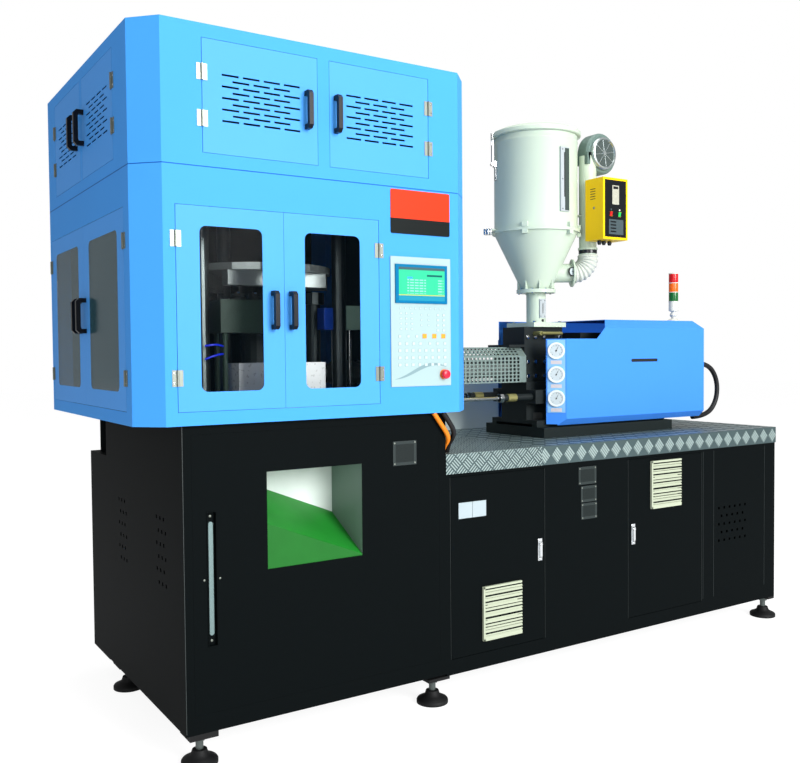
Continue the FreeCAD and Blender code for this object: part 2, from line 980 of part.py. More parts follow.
def operator_panel():
    """Keypad plate, the screen and the stop button."""
    x = size.cab_left + size.panel_start
    top = size.panel_bottom + size.panel_high
    face = size.cab_front - size.panel_thick
    plate = box(
        "keypad_plate", (x, face, size.panel_bottom),
        size.panel_wide, size.panel_thick, size.panel_high,
    )
    bore_x, bore_z = x + size.stop_side, top - size.stop_drop
    hole = bar(
        "stop_hole", (bore_x, size.cab_front, bore_z),
        size.stop_stem + size.stop_slack, 2 * size.panel_thick, TO_FRONT,
    )
    node("operator_panel", cut("keypad", plate, hole))
    node("screen", box(
        "screen_block",
        (x + size.screen_side, face - size.screen_thick, top - size.screen_drop - size.screen_high),
        size.screen_wide, size.screen_thick, size.screen_high,
    ))
    slack = size.stop_slack
    stem = bar(
        "stop_stem", (bore_x, size.cab_front - slack, bore_z), size.stop_stem,
        size.stop_travel + size.panel_thick, TO_FRONT,
    )
    cap = bar(
        "stop_cap", (bore_x, face - size.stop_travel - slack, bore_z), size.stop_radius,
        size.stop_reach, TO_FRONT, "fine_facets",
    )
    node("stop_button", fuse("stop_button_fuse", stem, cap))


def blank_plates():
    """The badge and the nameplates, all bare."""
    badge = rounded(
        "badge_plate", "XZ",
        (0, 0, size.badge_wide, size.badge_high), size.badge_corner, size.plate_thick,
        (size.cab_left + size.badge_start, size.cab_front, size.badge_bottom),
    )
    plates = [badge]
    front = size.base_front - size.plate_thick
    for name in ("tower_plate", "bed_plate", "upper_note", "lower_note"):
        start, low, wide, high = [
            getattr(size, f"{name}_{kind}") for kind in ("start", "low", "wide", "high")
        ]
        plates.append(box(name, (start, front, low), wide, size.plate_thick, high))
    node("blank_plates", group("blank_plate_set", *plates))


# ------------------------------------------------------------- base under the press

def tower_base():
    """Black base frame, its front panel with the pull trough, the chute, the rear box."""
    wall, rim = size.sheet, size.base_rim
    high = size.cab_bottom - size.base_bottom
    outer = box(
        "base_outer", (size.base_left, size.base_front, size.base_bottom),
        size.base_long, size.base_depth, high,
    )
    inner = box(
        "base_inner", (size.base_left + wall, size.base_front + wall, size.base_bottom + wall),
        size.base_long - 2 * wall, size.base_depth - 2 * wall, high - 2 * wall,
    )
    gap = size.panel_gap
    opening = box(
        "base_opening", (size.base_left + rim, size.base_front - wall, size.base_bottom + 2 * rim),
        size.base_long - 2 * rim, 3 * wall, high - 3 * rim,
    )
    holes = []
    pitch = size.side_hole_pitch
    for block, start in enumerate((size.side_hole_front, size.side_hole_rear)):
        for row in range(SIZES["side_hole_rows"]):
            for column in range(SIZES["side_hole_columns"]):
                along = size.base_front + start + (column + row % 2 / 2) * pitch
                holes.append(box(
                    f"side_hole_{block}_{row}_{column}",
                    (size.base_left - wall, along,
                     size.side_hole_low + row * size.side_hole_rise),
                    3 * wall, size.side_hole, size.side_hole,
                ))
    node("tower_base", cut("tower_base_cut", outer, inner, opening, *holes))

    left, low = size.base_left + rim + gap, size.base_bottom + 2 * rim + gap
    sheet_panel = box(
        "front_sheet", (left, size.base_front, low),
        size.base_long - 2 * rim - 2 * gap, wall, high - 3 * rim - 2 * gap,
    )
    chute_x = size.base_left + size.chute_start
    chute_hole = box(
        "chute_hole", (chute_x, size.base_front - wall, size.chute_bottom),
        size.chute_wide, 3 * wall, size.chute_high,
    )
    trough_x = size.base_left + size.trough_start
    trough_hole = box(
        "trough_hole", (trough_x, size.base_front - wall, size.trough_bottom),
        size.trough_wide, 3 * wall, size.trough_high,
    )
    shell = box(
        "trough_block", (trough_x, size.base_front - wall, size.trough_bottom),
        size.trough_wide, size.trough_deep, size.trough_high,
    )
    scoop = box(
        "trough_scoop", (trough_x + wall, size.base_front - 2 * wall, size.trough_bottom + wall),
        size.trough_wide - 2 * wall, size.trough_deep, size.trough_high - 2 * wall,
    )
    trough = cut("trough_cut", shell, scoop)
    node("front_panel", fuse(
        "front_panel_fuse", cut("front_panel_cut", sheet_panel, chute_hole, trough_hole), trough
    ))
    chute(chute_x)
    rear_box()


def chute(chute_x):
    """Lined take-out chute: an open box of sheet and its sloping floor."""
    wall, gap = size.sheet, size.liner_gap
    back = size.base_front + wall + gap
    block = box(
        "liner_block", (chute_x - wall, back, size.chute_bottom - wall),
        size.chute_wide + 2 * wall, size.chute_deep + wall, size.chute_high + 2 * wall,
    )
    room = box(
        "liner_room", (chute_x, back - wall, size.chute_bottom),
        size.chute_wide, size.chute_deep + wall, size.chute_high,
    )
    liner = cut("chute_liner", block, room)
    normal = Vector(SIZES["chute_slope_side"], -SIZES["chute_slope_deep"], 1)
    half = size.chute_wide * 2
    cutter = prism(
        "slope_cutter", "XY",
        [(-half, -half), (half, -half), (half, half), (-half, half)], size.chute_wide * 2,
        (chute_x + size.chute_wide - gap, back, size.chute_bottom + 2 * wall),
        Rotation(Vector(0, 0, 1), normal),
    )
    floor = box(
        "slope_block", (chute_x + gap, back, size.chute_bottom + gap),
        size.chute_wide - 2 * gap, size.chute_deep - gap, size.chute_high - 2 * gap,
    )
    node("take_out_chute", group("chute_set", liner, cut("chute_floor", floor, cutter)))


def rear_box():
    """Closed box behind the base; its conduit rises to the cabinet over it."""
    node("rear_box", box(
        "rear_block", (size.base_left + size.rear_box_start, base_rear, size.rear_box_bottom),
        size.rear_box_wide, size.rear_box_deep, size.rear_box_top - size.rear_box_bottom,
    ))


def feet():
    """Levelling feet under both bases, each with the plate it screws into."""
    plate_low = size.bed_bottom - size.foot_plate_thick
    half = size.foot_plate_long / 2
    lifts = (size.base_bottom, size.bed_bottom, size.bed_bottom)
    parts = []
    for column, x in enumerate((Size.of(0), size.foot_middle, size.foot_last)):
        for row in range(2):
            y = row * size.foot_pitch
            name = f"foot_{column}_{row}"
            pad = bar(name + "_pad", (x, y, 0), size.foot_radius, size.foot_rim)
            hub = bar(
                name + "_hub", (x, y, size.foot_rim), size.foot_hub_radius, size.foot_hub
            )
            stem = bar(name + "_stem", (x, y, size.foot_rim), size.foot_stem,
                       plate_low - size.foot_rim)
            before, wide = half, size.foot_plate_long
            if column == 2:
                before, wide = size.foot_plate_last_start, size.foot_plate_last
            plate = box(
                name + "_plate", (x - before, y - half, plate_low), wide, size.foot_plate_long,
                lifts[column] - plate_low,
            )
            parts.append(fuse(name, pad, hub, stem, plate))
    node("levelling_feet", group("levelling_feet_set", *parts))


# ----------------------------------------------------- base under the injection unit


bay_pivot_left = base_right + size.bay_left_start + size.bay_pin_inset
bay_pivot_right = (base_right + size.bay_right_start + size.bay_right_wide
                   - size.bay_pin_inset)


def bed_hole(name, start, wide, gap):
    """The hole that a door of the long base closes."""
    return box(
        name, (base_right + start - gap, size.base_front - size.bed_sheet, size.bay_low - gap),
        wide + 2 * gap, 3 * size.bed_sheet, size.bay_high - size.bay_low + 2 * gap,
    )


def injection_base():
    """Long base of sheet with two door bays, a fixed middle panel and a vented end bay."""
    wall = size.bed_sheet
    long = size.bed_end - base_right
    high = size.deck_top - size.deck_sheet - size.bed_bottom
    outer = box(
        "bed_outer", (base_right, size.base_front, size.bed_bottom), long, size.base_depth, high
    )
    rooms = []
    bays = (
        (wall, size.bay_left_start + size.bay_left_wide + size.bed_rim / 2),
        (size.bay_left_start + size.bay_left_wide + size.bed_rim / 2 + wall,
         size.bay_right_start - size.bed_rim / 2),
        (size.bay_right_start - size.bed_rim / 2 + wall,
         size.bay_right_start + size.bay_right_wide + size.bed_rim / 2),
        (size.bay_right_start + size.bay_right_wide + size.bed_rim / 2 + wall, long - wall),
    )
    for index, (start, end) in enumerate(bays):
        rooms.append(box(
            f"bay_{index}", (base_right + start, size.base_front + wall, size.bed_bottom + wall),
            end - start, size.base_depth - 2 * wall, high - 2 * wall,
        ))
    holes = [
        bed_hole("bay_left_hole", size.bay_left_start, size.bay_left_wide, size.bay_gap),
        bed_hole("bay_right_hole", size.bay_right_start, size.bay_right_wide, size.bay_gap),
    ]
    for row in range(SIZES["end_hole_rows"]):
        for column in range(SIZES["end_hole_columns"] - row % 2):
            x = base_right + size.end_bay_start + (column + (row % 2) / 2) * size.end_hole_pitch
            holes.append(box(
                f"end_hole_{row}_{column}",
                (x + size.bed_rim, size.base_front - wall,
                 size.end_hole_low + row * size.end_hole_pitch),
                size.end_hole, 3 * wall, size.end_hole,
            ))
    shell = cut("injection_base_shell", outer, *rooms, *holes)
    pivots = pivot_brackets("bay_left", bay_pivot_left)
    pivots += pivot_brackets("bay_right", bay_pivot_right)
    node("injection_base", fuse("injection_base_fuse", shell, *pivots))
    bay_door("base_door_left", size.bay_left_start, size.bay_left_wide, -1,
             size.left_grille_start, size.left_grille_low)
    bay_door("base_door_right", size.bay_right_start, size.bay_right_wide, 1,
             size.right_grille_start, size.right_grille_low)
    deck()


def pivot_brackets(name, x):
    """Blocks with a pin each, above and below a door of the long base."""
    wall, gap, high = size.bed_sheet, size.bay_gap, size.bay_bracket
    back, pin = size.base_front + wall, size.bay_pin
    parts = []
    for index, (block_low, pin_low) in enumerate((
        (size.bay_low - gap - high, size.bay_low - gap),
        (size.bay_high + gap, size.bay_high + gap - 2 * high),
    )):
        block = box(
            f"{name}_bracket_{index}", (x - high, back, block_low),
            2 * high, size.bay_door_deep, high,
        )
        spot = (x, size.base_front + size.bay_pin_inset, pin_low)
        parts += [block, bar(f"{name}_pin_{index}", spot, pin, 2 * high)]
    return parts


def bay_door(name, start, wide, hinge_side, grille_start, grille_low):
    """One door of the long base, with its vent grille and its swing-handle lock."""
    wall = size.bed_sheet
    pivot = bay_pivot_left if hinge_side < 0 else bay_pivot_right
    x, front = base_right + start, size.base_front
    high = size.bay_high - size.bay_low
    block = box(name + "_block", (x, front, size.bay_low), wide, size.bay_door_deep, high)
    hollow = box(
        name + "_hollow", (x + wall, front + wall, size.bay_low + wall),
        wide - 2 * wall, size.bay_door_deep, high - 2 * wall,
    )
    vent = box(
        name + "_vent", (x + grille_start + size.grille_slat, front - wall,
                         size.bay_low + grille_low + size.grille_slat),
        size.grille_wide - 2 * size.grille_slat, 3 * wall,
        size.grille_high - 2 * size.grille_slat,
    )
    lock_x = (x + wide - size.lock_inset - size.lock_wide) if hinge_side < 0 else (
        x + size.lock_inset)
    lock = box(
        name + "_lock", (lock_x, front - size.lock_thick, size.bay_low + size.lock_low),
        size.lock_wide, size.lock_thick, size.lock_high,
    )
    teeth = [(0, 0), (0, size.grille_high)]
    count = SIZES["grille_slats"]
    step = size.grille_high / count
    for index in range(count):
        high_edge = size.grille_high - index * step
        teeth.append((-size.grille_lip, high_edge))
        teeth.append((-size.grille_thick, high_edge - step))
    grille = prism(
        name + "_grille", "YZ", teeth, size.grille_wide,
        (x + grille_start, front, size.bay_low + grille_low),
    )
    slits = []
    for index in range(count):
        slits.append(box(
            f"{name}_slit_{index}",
            (x + grille_start + size.grille_slat, front - size.grille_thick * 2,
             size.bay_low + grille_low + size.grille_slat / 2 + index * step),
            size.grille_wide - 2 * size.grille_slat, 3 * size.grille_thick,
            size.grille_slat / 4,
        ))
    bore = bar(
        name + "_bore", (pivot, front + size.bay_pin_inset, size.bay_low - wall),
        (size.bay_pin + size.bay_pin_slack) * FACET_REACH, high + 2 * wall,
    )
    whole = fuse(
        name + "_fuse", cut(name + "_pan", block, hollow, vent, bore), lock,
        cut(name + "_grille_cut", grille, *slits[1:-1]),
    )
    node(name, whole)
    slack = size.hinge_slack
    lever = box(
        name + "_lever_block",
        (lock_x + (size.lock_wide - size.lever_wide) / 2,
         front - size.lock_thick - slack - size.lever_thick,
         size.bay_low + size.lock_low + (size.lock_high - size.lever_long) / 2),
        size.lever_wide, size.lever_thick, size.lever_long,
    )
    node(name.replace("base_door", "lock_lever"), lever)


def deck():
    """Two folded tread plates over the long base."""
    wall, gap = size.deck_sheet, size.liner_gap
    low = size.deck_top - size.deck_lip
    end = size.bed_end + wall + gap
    spans = (
        (base_right + gap, base_right + size.deck_seam - size.deck_joint),
        (base_right + size.deck_seam, end),
    )
    plates = []
    for index, (start, stop) in enumerate(spans):
        block = box(
            f"deck_block_{index}", (start, size.base_front - wall - gap, low),
            stop - start, size.base_depth + 2 * wall + 2 * gap, size.deck_lip,
        )
        room_start = start - wall
        room_end = stop + wall if index == 0 else stop - wall
        room = box(
            f"deck_room_{index}", (room_start, size.base_front - gap, low - wall),
            room_end - room_start, size.base_depth + 2 * gap, size.deck_lip,
        )
        plates.append(cut(f"deck_plate_{index}", block, room))
    node("deck_plates", group("deck_plate_set", *plates))
    node("rear_sheet", box(
        "rear_sheet_block",
        (base_right + size.rear_sheet_inset, base_rear - size.rear_sheet_inset, size.deck_top),
        size.rear_sheet_end - base_right - size.rear_sheet_inset, size.sheet,
        size.rear_sheet_top - size.deck_top,
    ))


# --------------------------------------------------------------- press in the cabinet

table_y = size.unit_axis_y - size.station_radius / 2
table_centre = (size.table_x, table_y, 0)
TIE_TURNS = (-30, 90, 210)
STATION_TURNS = (-90, 30, 150)


def around(name, part, turns):
    """Copies of a part about the index table's axis."""
    return [turned(f"{name}_{index}", part, table_centre, angle)
            for index, angle in enumerate(turns)]


def six_sided(name, low, thick):
    """A plate with six sides, three of its corners over the tie bars."""
    obj = bound(
        "Part::Prism", name, (size.table_x, table_y, low),
        Rotation(Vector(0, 0, 1), TIE_TURNS[0]), Circumradius=size.platen_outer, Height=thick,
    )
    obj.Polygon = SIZES["platen_sides"]
    return obj


def press_frame():
    """Foot plate, tie bars and crown with the clamping cylinder."""
    foot = box(
        "press_foot_block", (press_left, press_front, size.cab_bottom),
        press_right - press_left, press_rear - press_front, size.press_foot,
    )
    foot_top = size.cab_bottom + size.press_foot
    post = bar(
        "table_post", (size.table_x, table_y, foot_top), size.hub_radius,
        size.table_low - foot_top - size.hub_slack, facets="fine_facets")
    node("press_foot", fuse("press_foot_fuse", foot, post))
    crown_top = size.crown_low + size.crown_thick
    tie = bar(
        "tie_bar_rod", (size.tie_radius, 0, foot_top), size.tie_bar,
        size.crown_low - foot_top, facets="fine_facets",
    )
    guide = bar(
        "guide_rod", (size.guide_x, size.guide_y, foot_top), size.guide_radius,
        size.guide_top - foot_top, facets="fine_facets")
    collar = bar(
        "guide_collar", (size.guide_x, size.guide_y, size.guide_top), size.guide_collar,
        size.guide_collar_high,
    )
    node("tie_bars", group(
        "tie_bar_set", *around("tie_bar", tie, TIE_TURNS), fuse("guide_column", guide, collar)
    ))
    plate = six_sided("crown_plate", size.crown_low, size.crown_thick)
    nut = bar("tie_nut_rod", (size.tie_radius, 0, crown_top), size.tie_nut, size.tie_nut_high)
    case = bar(
        "cylinder_case", (size.table_x, table_y, crown_top), size.cylinder_outer,
        size.cylinder_top - crown_top, facets="fine_facets")
    stretch_at = (size.table_x, table_y - size.station_radius)
    barrel = bar(
        "stretch_case", (*stretch_at, size.stretch_low), size.stretch_case,
        size.crown_low - size.stretch_low,
    )
    stretch_bore = bar(
        "stretch_bore", (*stretch_at, size.stretch_low - size.sheet),
        size.stretch_rod + size.ram_slack, size.crown_low - size.stretch_low,
    )
    bore = bar(
        "cylinder_bore", (size.table_x, table_y, size.crown_low - size.sheet),
        size.ram_radius + size.ram_slack,
        size.cylinder_top - size.cylinder_wall - size.crown_low, facets="fine_facets",
    )
    whole = fuse("crown_fuse", plate, case, barrel, *around("tie_nut", nut, TIE_TURNS))
    node("crown", cut("crown_cut", whole, bore, stretch_bore))


def clamp_platen():
    """Moving platen on the tie bars, with its ram and the core rods under it."""
    plate = six_sided("platen_plate", size.platen_low, size.platen_thick)
    ram = bar(
        "clamp_ram", (size.table_x, table_y, size.platen_low), size.ram_radius,
        size.cylinder_top - 3 * size.cylinder_wall - size.platen_low, facets="fine_facets",
    )
    cores = []
    for index, side in enumerate((-1, 1)):
        core = bar(
            f"core_{index}_rod",
            (size.station_radius, side * size.lip_hole_pitch, size.platen_low - size.core_long),
            size.core_radius, size.core_long,
        )
        cores.append(turned(f"core_{index}", core, table_centre, STATION_TURNS[1]))
    hole = bar(
        "platen_tie_hole", (size.tie_radius, 0, size.platen_low - size.sheet),
        size.tie_bar + size.tie_slack, size.platen_thick + 2 * size.sheet,
        facets="fine_facets",
    )
    room = bar(
        "stretch_room", (size.table_x, table_y - size.station_radius,
                         size.platen_low - size.sheet),
        size.stretch_room, size.platen_thick + 2 * size.sheet, facets="fine_facets")
    node("clamp_platen", cut(
        "clamp_platen_cut", fuse("platen_fuse", plate, ram, *cores), room,
        *around("platen_hole", hole, TIE_TURNS),
    ))
    drop = size.stretch_low - size.stretch_plate_thick - size.mould_slack
    head = box(
        "stretch_plate",
        (size.table_x - size.stretch_half, table_y - size.station_radius - size.stretch_case,
         drop),
        2 * size.stretch_half, 2 * size.stretch_case, size.stretch_plate_thick,
    )
    pusher = bar(
        "stretch_pusher", (size.table_x, table_y - size.station_radius, drop),
        size.stretch_rod, size.crown_low - size.stretch_low - size.core_long,
    )
    tips = [
        bar(f"stretch_tip_{index}",
            (size.table_x + side * size.lip_hole_pitch, table_y - size.station_radius,
             drop - size.stretch_reach),
            size.stretch_rod, size.stretch_reach)
        for index, side in enumerate((-1, 1))
    ]
    node("stretch_head", fuse("stretch_head_fuse", head, pusher, *tips))


def index_table():
    """Round table with the three pairs of lip plates that carry the preforms."""
    plate = bar(
        "table_plate", (size.table_x, table_y, size.table_low), size.table_outer,
        size.table_thick, facets="wide_facets")
    lip = box(
        "lip_bar", (size.station_radius - size.lip_wide / 2, -size.lip_long / 2,
                    size.table_low - size.lip_high),
        size.lip_wide, size.lip_long, size.lip_high,
    )
    holes = []
    for index, side in enumerate((-1, 1)):
        hole = bar(
            f"lip_hole_{index}",
            (size.station_radius, side * size.lip_hole_pitch,
             size.table_low - size.lip_high - size.sheet),
            size.lip_hole, size.lip_high + size.table_thick + 2 * size.sheet,
        )
        holes += around(f"lip_holes_{index}", hole, STATION_TURNS)
    node("index_table", cut(
        "index_table_cut", fuse("table_fuse", plate, *around("lip", lip, STATION_TURNS)), *holes
    ))


def moulds():
    """The two blow mould halves, the preform mould and the bridge over the blow station."""
    low = size.cab_bottom + size.press_foot + size.mould_slack
    station_y = table_y - size.station_radius
    cavities = []
    for index, side in enumerate((-1, 1)):
        spot_y = station_y + side * size.cavity_pitch / 2
        cavities.append(bar(
            f"bottle_{index}", (size.table_x, spot_y, size.cavity_floor), size.cavity_radius,
            size.cavity_shoulder - size.cavity_floor,
        ))
        cavities.append(bar(
            f"neck_{index}", (size.table_x, spot_y, size.cavity_floor), size.neck_radius,
            size.mould_top - size.cavity_floor + size.sheet,
        ))
    for name, start in (
        ("blow_mould_left", size.table_x - size.mould_slack / 2 - size.mould_long),
        ("blow_mould_right", size.table_x + size.mould_slack / 2),
    ):
        block = box(
            name + "_block", (start, station_y - size.mould_deep / 2, low),
            size.mould_long, size.mould_deep, size.mould_top - low,
        )
        node(name, cut(name + "_cut", block, *cavities))
    floor = size.cab_bottom + size.press_foot
    half = size.cavity_mould_half
    station = box(
        "preform_mould_block", (size.station_radius - half, -half, floor),
        2 * half, 2 * half, size.cavity_mould_top - floor,
    )
    centre = turned("preform_mould_turned", station, table_centre, STATION_TURNS[1])
    cavity = [
        bar(f"preform_{index}",
            (size.station_radius, side * size.lip_hole_pitch, size.unit_axis_z),
            size.neck_radius, size.cavity_mould_top - size.unit_axis_z + size.sheet)
        for index, side in enumerate((-1, 1))
    ]
    runs = [turned(f"preform_hole_{index}", part, table_centre, STATION_TURNS[1])
            for index, part in enumerate(cavity)]
    seat = box(
        "nozzle_seat",
        (size.nozzle_tip - size.mould_slack, size.unit_axis_y - half,
         size.unit_axis_z - half),
        half, 2 * half, 2 * half,
    )
    node("preform_mould", cut("preform_mould_cut", centre, seat, *runs))
    beam = box(
        "bridge_beam", (size.bridge_start, station_y - size.mould_deep / 2, size.bridge_low),
        size.bridge_end - size.bridge_start, size.mould_deep,
        size.bridge_top - size.bridge_low,
    )
    posts = []
    for index, side in enumerate((-1, 1)):
        posts.append(bar(
            f"bridge_post_{index}",
            (size.bridge_start + size.bridge_post_inset,
             station_y + side * (size.mould_deep / 2 - size.bridge_post_inset), floor),
            size.bridge_post, size.bridge_low - floor,
        ))
    node("blow_bridge", fuse("blow_bridge_fuse", beam, *posts))


# ------------------------------------------------------------------ injection unit

slide_top = size.deck_top + size.slide_thick
rail_top = slide_top + size.rail_high
plate_low = rail_top + size.carriage_slack
slide_deep = 2 * (size.unit_axis_y - size.slide_front)


def slide_base():
    """Bed of the injection unit with its two rails."""
    long = size.slide_end - size.slide_start
    block = box(
        "slide_block", (size.slide_start, size.slide_front, size.deck_top),
        long, slide_deep, size.slide_thick,
    )
    rails = [
        box(f"rail_{index}", (size.slide_start, y, slide_top), long, size.rail_wide,
            size.rail_high)
        for index, y in enumerate((
            size.slide_front + size.rail_inset,
            size.slide_front + slide_deep - size.rail_inset - size.rail_wide,
        ))
    ]
    node("slide_base", fuse("slide_base_fuse", block, *rails))
    rods = []
    for index, side in enumerate((-1, 1)):
        rods.append(bar(
            f"pull_rod_{index}",
            (press_right, size.unit_axis_y + side * size.pull_rod_side, size.pull_rod_z),
            size.pull_rod, size.pull_rod_end - press_right, ALONG_X,
        ))
    node("pull_rods", group("pull_rod_set", *rods))


def carriage():
    """Cast carriage: slide plate, swivel, head, drive block and motor, with both sleeves."""
    y, half = size.unit_axis_y, size.carriage_half
    head_end = size.slide_start + size.carriage_head
    plate = box(
        "carriage_plate", (size.slide_start, size.slide_front + size.rail_inset, plate_low),
        size.carriage_end - size.slide_start, slide_deep - 2 * size.rail_inset,
        size.carriage_plate,
    )
    plate_top = plate_low + size.carriage_plate
    swivel = bar(
        "carriage_swivel", (size.slide_start + size.carriage_swivel, y, plate_top),
        size.carriage_swivel, size.carriage_swivel_high, facets="fine_facets")
    head = box(
        "carriage_head", (size.slide_start, y - half, plate_top),
        size.carriage_head, 2 * half, size.guard_low - plate_top,
    )
    ears = box(
        "carriage_ears",
        (size.slide_start, y - size.pull_rod_side - 2 * size.pull_sleeve,
         size.pull_rod_z - 2 * size.pull_sleeve),
        size.carriage_head / 2, 2 * size.pull_rod_side + 4 * size.pull_sleeve,
        4 * size.pull_sleeve,
    )
    drive = box(
        "drive_block", (size.drive_start, y - size.drive_half, plate_top),
        size.drive_long, 2 * size.drive_half, size.drive_top - plate_top,
    )
    motor = bar(
        "drive_motor", (size.drive_start, y, size.unit_axis_z), size.motor_radius,
        size.motor_end - size.drive_start, ALONG_X,
    )
    tie = box(
        "carriage_tie", (head_end, y - half, plate_top),
        size.drive_start - head_end, 2 * half, size.guard_low - plate_top,
    )
    sleeves, bores = [], []
    for index, side in enumerate((-1, 1)):
        spot = y + side * size.pull_rod_side
        sleeves.append(bar(
            f"pull_sleeve_{index}", (size.pull_sleeve_start, spot, size.pull_rod_z),
            size.pull_sleeve, size.slide_start - size.pull_sleeve_start, ALONG_X,
        ))
        bores.append(bar(
            f"pull_bore_{index}", (size.pull_sleeve_start - size.sheet, spot, size.pull_rod_z),
            size.pull_rod + size.pull_rod_slack,
            size.pull_rod_end - size.pull_sleeve_start + 4 * size.sheet, ALONG_X,
        ))
    reach, foot = size.cover_half - size.cover_sheet, size.stay_foot_half
    outline = [
        (-reach, size.stay_low), (-reach, size.stay_low + size.stay_thick),
        (reach, size.stay_low + size.stay_thick), (reach, size.stay_low),
        (foot, plate_top), (-foot, plate_top),
    ]
    stays = [
        prism(f"cover_stay_{index}", "YZ", outline, size.stay_wide, (start, y, 0))
        for index, start in enumerate((size.stay_front, size.stay_rear))
    ]
    whole = fuse("carriage_fuse", plate, swivel, head, ears, drive, motor, tie, *sleeves, *stays)
    node("carriage", cut("carriage_cut", whole, *bores))


def throat_and_barrel():
    """Feed throat under the hopper, the heated barrel and its perforated guard."""
    y, z = size.unit_axis_y, size.unit_axis_z
    half = size.throat_half
    start = size.slide_start
    block = box(
        "throat_block", (start, y - half, size.guard_low), size.throat_long, 2 * half,
        size.throat_top - size.guard_low,
    )
    plate = box(
        "throat_plate",
        (start - size.throat_plate_reach, y - half, size.guard_shoulder + size.guard_slope),
        size.throat_plate_reach, 2 * half, size.throat_plate,
    )
    feed = bar(
        "feed_hole", (size.hopper_x, y, z), size.neck_bore, size.throat_top - z + size.sheet,
        facets="fine_facets",
    )
    node("feed_throat", cut("feed_throat_cut", fuse("throat_fuse", block, plate), feed))

    tube = bar(
        "barrel_tube", (size.nozzle_tip + size.nozzle_cone, y, z), size.barrel_radius,
        start - size.nozzle_tip - size.nozzle_cone, ALONG_X,
    )
    nozzle = bar(
        "nozzle", (size.nozzle_tip, y, z), size.nozzle_radius,
        size.nozzle_cone * 2, ALONG_X,
    )
    nut = bar(
        "nozzle_nut", (size.nozzle_tip + size.nozzle_cone / 2, y, z), size.nozzle_nut,
        size.nozzle_cone, ALONG_X, "nut_facets",
    )
    bands = []
    for index in range(SIZES["bands"]):
        bands.append(bar(
            f"heater_band_{index}",
            (size.nozzle_tip + size.band_start + index * size.band_pitch, y, z),
            size.band_radius, size.band_long, ALONG_X,
        ))
    node("barrel", fuse("barrel_fuse", tube, nozzle, nut, *bands))
    guard()


def guard():
    """Folded sheet guard over the barrel, perforated in front and on its slope."""
    half, slope, thick = size.guard_half, size.guard_slope, size.guard_sheet
    low, shoulder = size.guard_low, size.guard_shoulder
    corner = thick * (2 ** 0.5 - 1)
    outline = [
        (-half, low), (-half, shoulder), (-half + slope, shoulder + slope),
        (half - slope, shoulder + slope), (half, shoulder), (half, low),
        (half - thick, low), (half - thick, shoulder - corner),
        (half - slope - corner, shoulder + slope - thick),
        (-half + slope + corner, shoulder + slope - thick),
        (-half + thick, shoulder - corner), (-half + thick, low),
    ]
    shell = prism(
        "guard_sheet_pad", "YZ", outline, size.guard_end - size.guard_start,
        (size.guard_start, size.unit_axis_y, 0),
    )
    holes = []
    pitch, hole = size.guard_pitch, size.guard_hole
    for column in range(SIZES["guard_columns"]):
        x = size.guard_first + column * pitch
        for row in range(SIZES["guard_rows"]):
            holes.append(box(
                f"guard_hole_{column}_{row}",
                (x, size.unit_axis_y - half - thick, low + size.guard_row_start + row * pitch),
                hole, 3 * thick, hole,
            ))
        slot = box(f"guard_top_{column}", (0, -thick, 0), hole, 3 * thick, slope)
        holes.append(place(
            group(f"guard_slope_{column}", slot),
            (x, size.unit_axis_y - half + size.guard_slope_inset,
             shoulder + size.guard_slope_inset),
            Rotation(Vector(1, 0, 0), -45),
        ))
    node("barrel_guard", cut("barrel_guard_cut", shell, *holes))


def cover():
    """Blue drive cover: bevelled all round, open at its left end and underneath."""
    outer = cover_block("cover_outer", Size.of(0))
    inner = cover_block("cover_inner", size.cover_sheet)
    y, half = size.unit_axis_y, size.cover_half
    bottom = box(
        "cover_bottom_hole",
        (size.cover_start - size.cover_sheet, y - half + size.cover_low_bevel,
         size.cover_low - size.cover_sheet),
        size.cover_end - size.cover_start, 2 * (half - size.cover_low_bevel),
        3 * size.cover_sheet,
    )
    left_end = box(
        "cover_left_hole",
        (size.cover_start - size.cover_sheet, y - half + size.cover_front_bevel,
         size.cover_low - size.cover_sheet),
        3 * size.cover_sheet, 2 * (half - size.cover_front_bevel),
        size.cover_high - size.cover_low + 2 * size.cover_sheet,
    )
    sill = [
        (size.cover_start - size.cover_sheet, size.cover_sill),
        (size.cover_sill_end, size.cover_sill),
        (size.cover_sill_end + size.cover_slope, size.cover_high),
        (size.cover_sill_end + size.cover_slope, size.cover_high + size.cover_sheet),
        (size.cover_start - size.cover_sheet, size.cover_high + size.cover_sheet),
    ]
    window = prism(
        "cover_sill_cut", "XZ", sill, 2 * half - size.cover_top_bevel,
        (0, y - half - size.cover_sheet, 0), back=True,
    )
    slot_x = size.cover_start + size.cover_slot_start + size.cover_slot_long / 2
    slot = rounded(
        "cover_slot", "XZ",
        (-size.cover_slot_long / 2, 0, size.cover_slot_long / 2, size.cover_slot_high),
        size.cover_slot_corner, 3 * size.cover_sheet,
        (slot_x + size.cover_front_bevel, y - half - size.cover_sheet, size.cover_slot_z),
        back=True,
    )
    shell = cut("drive_cover_cut", outer, inner, bottom, left_end, window, slot)
    node("drive_cover", fuse("drive_cover_fuse", shell, *gauges()))


